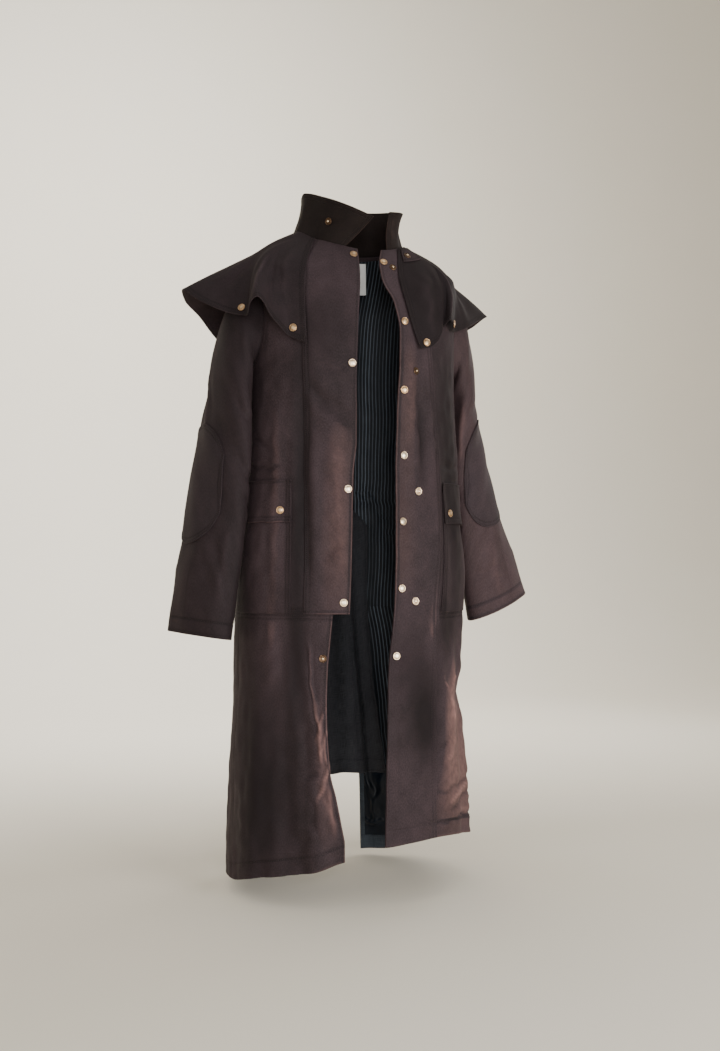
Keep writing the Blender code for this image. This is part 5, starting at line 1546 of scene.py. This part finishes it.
def sleeve_push(side, angle, along):
    """Push, and wear with painted light and shade, of a sleeve's creases and waves, none at the armhole."""
    t = np.where(along > 1.0, along - 1.0, (along - 1.0) * HEAD_ARC)
    laps = [creased((angle + lap) * SLEEVE_ARC, t, SLEEVE_CREASES[side], SLEEVE_ARC, 1.0)
            for lap in (-360.0, 0.0, 360.0)]
    push, wear_light_and_shade = (sum(parts) for parts in zip(*laps))
    x = SLEEVE_RADIUS * np.cos(np.radians(angle))
    y = SLEEVE_RADIUS * np.sin(np.radians(angle))
    return (push + waves(x + y, t + x - y, SLEEVE_WAVE)) * ease(along / SLEEVE_CALM), wear_light_and_shade + SLEEVE_LIGHT_AND_SHADE[side]


def make_sleeve(side):
    """Sleeve from the armhole to the cuff, with its elbow patch."""
    sleeve = "sleeve_" + side
    start = SLEEVES[side][0][0]
    head = np.linspace(0.0, 1.0, HEAD_ROWS)[:-1]
    levels = np.concatenate((head, 1.0 + marks(SLEEVES[side][-1][0] - start, STEP, (), CUFF_HEM)))
    angle, along = np.meshgrid(np.arange(0.0, 360.0, SLEEVE_ANGLE_STEP), levels)
    points, out, wear_light_and_shade = sheet(SLEEVE_SHEET, side, angle, along, 0.0)
    sew(sleeve, (points, faced(points, out, closed=True), wear_light_and_shade), "hung", ["front_" + side, "back"],
        closed=True, seams={"bottom": CUFF_HEM}, worn=("bottom",))
    first, last, top, bottom = ELBOW_PATCHES[side]
    place, share = np.meshgrid(*(2.0 * spread(size, FINE_STEP, DOUBLE, DOUBLE) - 1.0
                                 for size in (PATCH_WIDTH, PATCH_LENGTH)))
    half = 0.5 * (bottom - top) * np.sqrt(1.0 - PATCH_ROUNDNESS * place * place)
    along = 1.0 + 0.5 * (top + bottom) + half * share - start
    angle = first + (last - first) * (0.5 + 0.5 * place)
    points, out, wear_light_and_shade = sheet(SLEEVE_SHEET, side, angle, along, CLOTH + PATCH_CLEARANCE)
    sew("elbow_patch_" + side, (points, faced(points, out), wear_light_and_shade + PATCH_TONES[side]), "laid", [sleeve],
        finish="patch", seams={border: DOUBLE for border in BORDERS}, worn=BORDERS)


def clear_of_body(place, clearance):
    """Places moved out of the body form, softly, so that they keep a clearance."""
    x, y, z = np.moveaxis(place, -1, 0)
    down = -z
    for _ in range(CAPE_CLEARING_ROUNDS):
        half_width, depth, drop = body_ring(down, y < 0.0)
        across = np.abs(x / half_width) ** SQUARENESS
        along = np.abs(y / depth) ** SQUARENESS
        down = np.maximum(0.0, -z - drop * along / np.maximum(across + along, 1e-9))
    ratio = (across + along) ** (1.0 / SQUARENESS)
    limit = 1.0 + clearance / np.hypot(half_width, depth) * math.sqrt(2.0)
    wanted = 0.5 * (ratio + limit + np.hypot(ratio - limit, CAPE_SOFTNESS))
    return stacked(x * wanted / ratio, y * wanted / ratio, z)


def fullness(turn):
    """How far the cape stands up beside the neck: none at the throat, most at the right shoulder."""
    stand = ease((np.abs(half_turned(turn)) - CAPE_STAND_FROM) / CAPE_STAND_OVER)
    return stand, stand * (0.5 - 0.5 * np.sin(np.radians(turn)))


def neck_edge(turn):
    """Upper edge of the cape, which the collar stands on."""
    level = np.full(np.shape(turn), CAPE_NECK_DOWN)
    place = body_form(turn, level)
    _, fuller = fullness(turn)
    out = unit(place * FLAT) * (CAPE_NECK_FLARE * fuller)[..., None]
    return place + form_facing(turn, level) * CAPE_LIFT + out + stacked(0.0, 0.0, CAPE_NECK_RISE * fuller)


def cape_form(side, station, share):
    """Middle surface of a cape half, clear of the coat below it."""
    neck_turn, mid_turn, x, y, z = (monotone(CAPES[side], station, i) for i in range(1, 6))
    neck = neck_edge(neck_turn)
    _, fuller = fullness(neck_turn)
    level = np.full(np.shape(mid_turn), CAPE_MID_DOWN)
    middle = body_form(mid_turn, level) + form_facing(mid_turn, level) * CAPE_LIFT
    middle = middle + stacked(0.0, 0.0, CAPE_MID_RISE * fuller)
    hem = stacked(x, y, z)
    over = middle - neck
    fall = hem - middle
    knee = length_of(over) / (length_of(over) + length_of(fall))
    span = 1.0 - knee
    bend = fall / span * knee + over / knee * span
    lead = 0.5 * (3.0 * over - bend * knee)
    tail = 0.5 * (3.0 * fall - bend * span)
    share = share[..., None]
    part = np.minimum(share / knee, 1.0)
    upper = bezier(neck, neck + lead / 3.0, middle - bend * (knee / 3.0), middle, part)
    part = np.maximum((share - knee) / span, 0.0)
    lower = bezier(middle, middle + bend * (span / 3.0), hem - tail / 3.0, hem, part)
    place = np.where(share < knee, upper, lower)
    return clear_of_body(place, CAPE_LIFT * ease(share[..., 0] / CAPE_NECK_SHARE))


def cape_facing(side, station, share):
    """Directions that face out of a cape half's form."""
    low = np.clip(share, 2.0 * SHARE_STEP, 1.0 - 2.0 * SHARE_STEP)
    start = np.maximum(station, 2.0 * STATION_STEP)
    return -SIGNS[side] * facing_of(partial(cape_form, side), start, low, STATION_STEP, SHARE_STEP)


def cape_push(side, station, share):
    """Push, and wear with painted light and shade, of a cape half's creases and waves."""
    s = station * STATION_ARC
    t = share * SHARE_ARC
    push, wear_light_and_shade = creased(s, t, CAPE_CREASES[side], STATION_ARC, SHARE_ARC)
    return (push + waves(s, t, CAPE_WAVES[side])) * ease(share / CAPE_CALM), wear_light_and_shade + CAPE_TONES[side]


SLEEVE_SHEET = (sleeve_form, sleeve_facing, sleeve_push)
CAPE_SHEET = (cape_form, cape_facing, cape_push)


def sheet(cloth, side, across, along, lift):
    """Places on a creased sleeve or cape half, moved out, with the directions that face out and the wear with
    painted light and shade.
    """
    form, facing, creases = cloth
    push, wear_light_and_shade = creases(side, across, along)
    out = facing(side, across, along)
    return form(side, across, along) + out * (push + lift)[..., None], out, wear_light_and_shade


def make_cape(side):
    """Half of the shoulder cape."""
    sign = SIGNS[side]
    stations = np.linspace(0.0, CAPE_LAST_STATION, CAPE_COLUMNS)
    edge = np.array(CAPE_EDGE_COLUMNS) / STATION_ARC
    stations = np.unique(np.round(np.concatenate((stations, edge)), CAPE_DIGITS))
    station, share = np.meshgrid(stations, spread(SHARE_ARC, FINE_STEP, (), DOUBLE))
    points, _, wear_light_and_shade = sheet(CAPE_SHEET, side, station, share, 0.0)
    points[:, -1, 0] = sign * 0.5 * SEAM_GAP
    facing = faced(points, (sign, 0.0, 1.0))
    facing[:, -1, 0] = 0.0
    facing[:, -1] = unit(facing[:, -1])
    sew("cape_" + side, (points, facing, wear_light_and_shade), "draped", ["front_" + side, "back", "sleeve_" + side],
        seams={"left": DOUBLE, "right": SINGLE, "bottom": DOUBLE}, worn=("left", "bottom"))


def collar_form(turn, share):
    """Middle surface of the collar."""
    rows = [(-row[0],) + row[1:] for row in COLLAR]
    top = stacked(*(monotone(rows, -turn, i) for i in range(1, 4)))
    base = body_form(turn, 0.0 * turn)
    out = unit(base * FLAT)
    stand, _ = fullness(turn)
    low = base - out * COLLAR_GAP + (0.0, 0.0, COLLAR_RISE)
    base = low + (neck_edge(turn) + (0.0, 0.0, COLLAR_SEAT) - low) * stand[..., None]
    share = share[..., None]
    waist = 4.0 * COLLAR_WAIST * share * (1.0 - share)
    return base + (top - base) * share - out * waist


def collar_facing(turn, share):
    """Directions that face out of the collar."""
    return facing_of(collar_form, turn, share, COLLAR_TURN_STEP, COLLAR_SHARE_STEP)


def make_collar():
    """Tall stand collar, open at the throat."""
    first, last = COLLAR[0][0], COLLAR[-1][0]
    turns = first + (last - first) * spread(COLLAR_LENGTH, FINE_STEP, DOUBLE, DOUBLE)
    turn, share = np.meshgrid(turns, spread(COLLAR_HEIGHT, SMALL_STEP, SINGLE, DOUBLE))
    s = turn * COLLAR_ARC
    t = share * COLLAR_HEIGHT
    push, wear_light_and_shade = creased(s, t, COLLAR_CREASES, COLLAR_ARC, COLLAR_HEIGHT)
    push = (push + waves(s, t, COLLAR_WAVE)) * ease(share / COLLAR_CALM)
    out = collar_facing(turn, share)
    points = collar_form(turn, share) + out * push[..., None]
    seams = {"left": DOUBLE, "right": DOUBLE, "bottom": DOUBLE}
    sew("collar", (points, faced(points, out), wear_light_and_shade), "hung", ["cape_right", "cape_left"], finish="collar",
        seams=seams, worn=tuple(seams))


def make_throat_tab():
    """Short strap that lies on the left shoulder of the cape."""
    station, share = np.meshgrid(*(first + (last - first) * spread(size, TAB_STEP, SINGLE, SINGLE)
                                   for (first, last), size in TAB_PLACE))
    points, facing, _ = sheet(CAPE_SHEET, "left", station, share, TAB_LIFT)
    sew("throat_tab", (points, facing, np.full(share.shape, TAB_TONE)), "laid", ["cape_left"],
        seams={border: SINGLE for border in BORDERS}, worn=BORDERS)


def make_label():
    """Blank label that hangs straight down from its upper edge, inside the back of the neck."""
    lift = -(0.5 * CLOTH + SEAM_GAP + LINING + LABEL_CLEARANCE + 0.5 * LABEL)
    down = np.full((1, LABEL_COLUMNS), LABEL_TOP)
    turn = 180.0 + turn_at(LABEL_HALF_WIDTH, down) * np.linspace(-1.0, 1.0, LABEL_COLUMNS)
    top, _, _ = on_body(turn, down, lift)
    drop = marks(LABEL_LENGTH, SMALL_STEP)[:, None]
    wave = LABEL_WAVE * ease(drop / LABEL_LENGTH) * np.sin(LABEL_WAVE_RATE * turn)
    points = top + stacked(0.0, wave, -drop)
    sew("label", (points, faced(points, BACKWARDS), np.zeros(wave.shape)), "hung", ["lining_back"],
        thickness=LABEL, finish="label")


def add_snap(name, points, facings):
    """Turned snap on a place: a domed cap, a socket with a raised ring, or a small stud."""
    place, facing = points[0, 0], facings[0, 0]
    outline = SOCKET_OUTLINE if "socket" in name else CAP_OUTLINE
    finish = "golden" if name.startswith(GOLDEN_SNAPS) else "brass"
    if name in STUDS:
        outline = STUD_OUTLINE
        finish = "aged"
    side = np.array(Vector(facing).orthogonal().normalized())
    step = np.arange(SNAP_SEGMENTS)
    after = np.roll(step, -1)
    angles = 2.0 * math.pi * step / SNAP_SEGMENTS
    spokes = np.cos(angles)[:, None] * side + np.sin(angles)[:, None] * np.cross(facing, side)
    ends = [(place + facing * height)[None] for _, height in (outline[0], outline[-1])]
    rings = [place + spokes * radius + facing * height for radius, height in outline[1:]]
    first = len(ends)
    last = first + (len(rings) - 1) * SNAP_SEGMENTS
    faces = []
    for low in range(first, last, SNAP_SEGMENTS):
        high = low + SNAP_SEGMENTS
        faces += np.stack((low + after, low + step, high + step, high + after), -1).tolist()
    for k, j in zip(step, after):
        faces += [[0, first + k, first + j], [1, last + j, last + k]]
    radii = [radius for radius, _ in outline]
    away = np.concatenate(([radii[0], radii[-1]], np.repeat(radii[1:], SNAP_SEGMENTS)))
    # The snap's middle gets the pale painted highlight
    wear_light_and_shade = np.where(away < PAINTED_HIGHLIGHT_RADIUS, 1.0, 0.0)
    piece = add_piece("brass_" + name, np.concatenate(ends + rings), faces, finish, wear_light_and_shade=wear_light_and_shade)
    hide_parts(name)


def make_snaps():
    """All the snaps, each on the outer face of the layer that carries it."""
    face = 0.5 * CLOTH
    for name, x, down, layers in FRONT_SNAPS:
        level = np.array([[down]])
        turn = turn_at(x, level)
        lift = layers * LAYER
        if layers == FLAP_LAYER:
            lift = pocket_layers(name.split("_")[-1], turn, level, layers)
        points, facing, _ = on_body(turn, level, face + lift)
        add_snap(name, points, facing)
    for name, side, station, share, lift in CAPE_SNAPS:
        points, facing, _ = sheet(CAPE_SHEET, side, np.array([[station]]), np.array([[share]]), face + lift)
        add_snap(name, points, facing)
    turn, share = np.reshape(COLLAR_SNAP, (2, 1, 1))
    facing = collar_facing(turn, share)
    add_snap("snap_collar", collar_form(turn, share) + facing * face, facing)


def make_stage():
    """Pale floor that curves up into a backdrop, soft lights, and the camera at the photograph's angle."""
    scene = bpy.context.scene
    lowest = CAD_BOX[0][2] - FLOOR_BELOW
    outline = [(FLOOR_AHEAD, 0.0), (BEND_FROM, 0.0)]
    for i in range(1, BEND_STEPS + 1):
        angle = 0.5 * math.pi * i / BEND_STEPS
        outline.append((BEND_FROM + BEND_RADIUS * math.sin(angle), BEND_RADIUS * (1.0 - math.cos(angle))))
    outline.append((BEND_FROM + BEND_RADIUS, BACKDROP_TOP))
    places = [(x, y, lowest + z) for y, z in outline for x in (-FLOOR_HALF_WIDTH, FLOOR_HALF_WIDTH)]
    faces = [(2 * i, 2 * i + 1, 2 * i + 3, 2 * i + 2) for i in range(len(outline) - 1)]
    add_mesh("floor", places, faces, pale_floor("pale_paper", *FLOOR_COLOURS))
    for name, place, aim, size, watts in LAMPS:
        light = bpy.data.lights.new(name, "AREA")
        light.shape = "SQUARE"
        light.size = size
        light.energy = watts
        lamp = linked(name, light)
        lamp.location = place
        lamp.rotation_euler = (Vector(aim) - Vector(place)).to_track_quat("-Z", "Y").to_euler()
    scene.world = bpy.data.worlds.new("studio")
    scene.world.use_nodes = True
    background = scene.world.node_tree.nodes["Background"].inputs
    background["Color"].default_value = WORLD_COLOUR
    background["Strength"].default_value = WORLD_STRENGTH
    turn = math.radians(CAMERA_TURN)
    lens = bpy.data.cameras.new("camera")
    lens.sensor_fit = "VERTICAL"
    lens.sensor_height = SENSOR
    lens.lens = SENSOR * FOCAL_PIXELS / IMAGE_HEIGHT
    lens.shift_x = AXIS_RIGHT_OF_COAT / IMAGE_HEIGHT
    lens.shift_y = HORIZON_BELOW_CENTRE / IMAGE_HEIGHT
    scene.camera = linked("camera", lens)
    away = CAMERA_DISTANCE * Vector((math.sin(turn), -math.cos(turn), 0.0))
    scene.camera.location = away + Vector((0.0, 0.0, CAMERA_HEIGHT))
    scene.camera.rotation_euler = (0.5 * math.pi, 0.0, turn)


make_stage()
for side in SIGNS:
    make_front(side)
    make_strip(side)
    make_sleeve(side)
    make_cape(side)
make_back()
make_skirts()
make_fantail()
make_collar()
make_throat_tab()
make_label()
make_snaps()
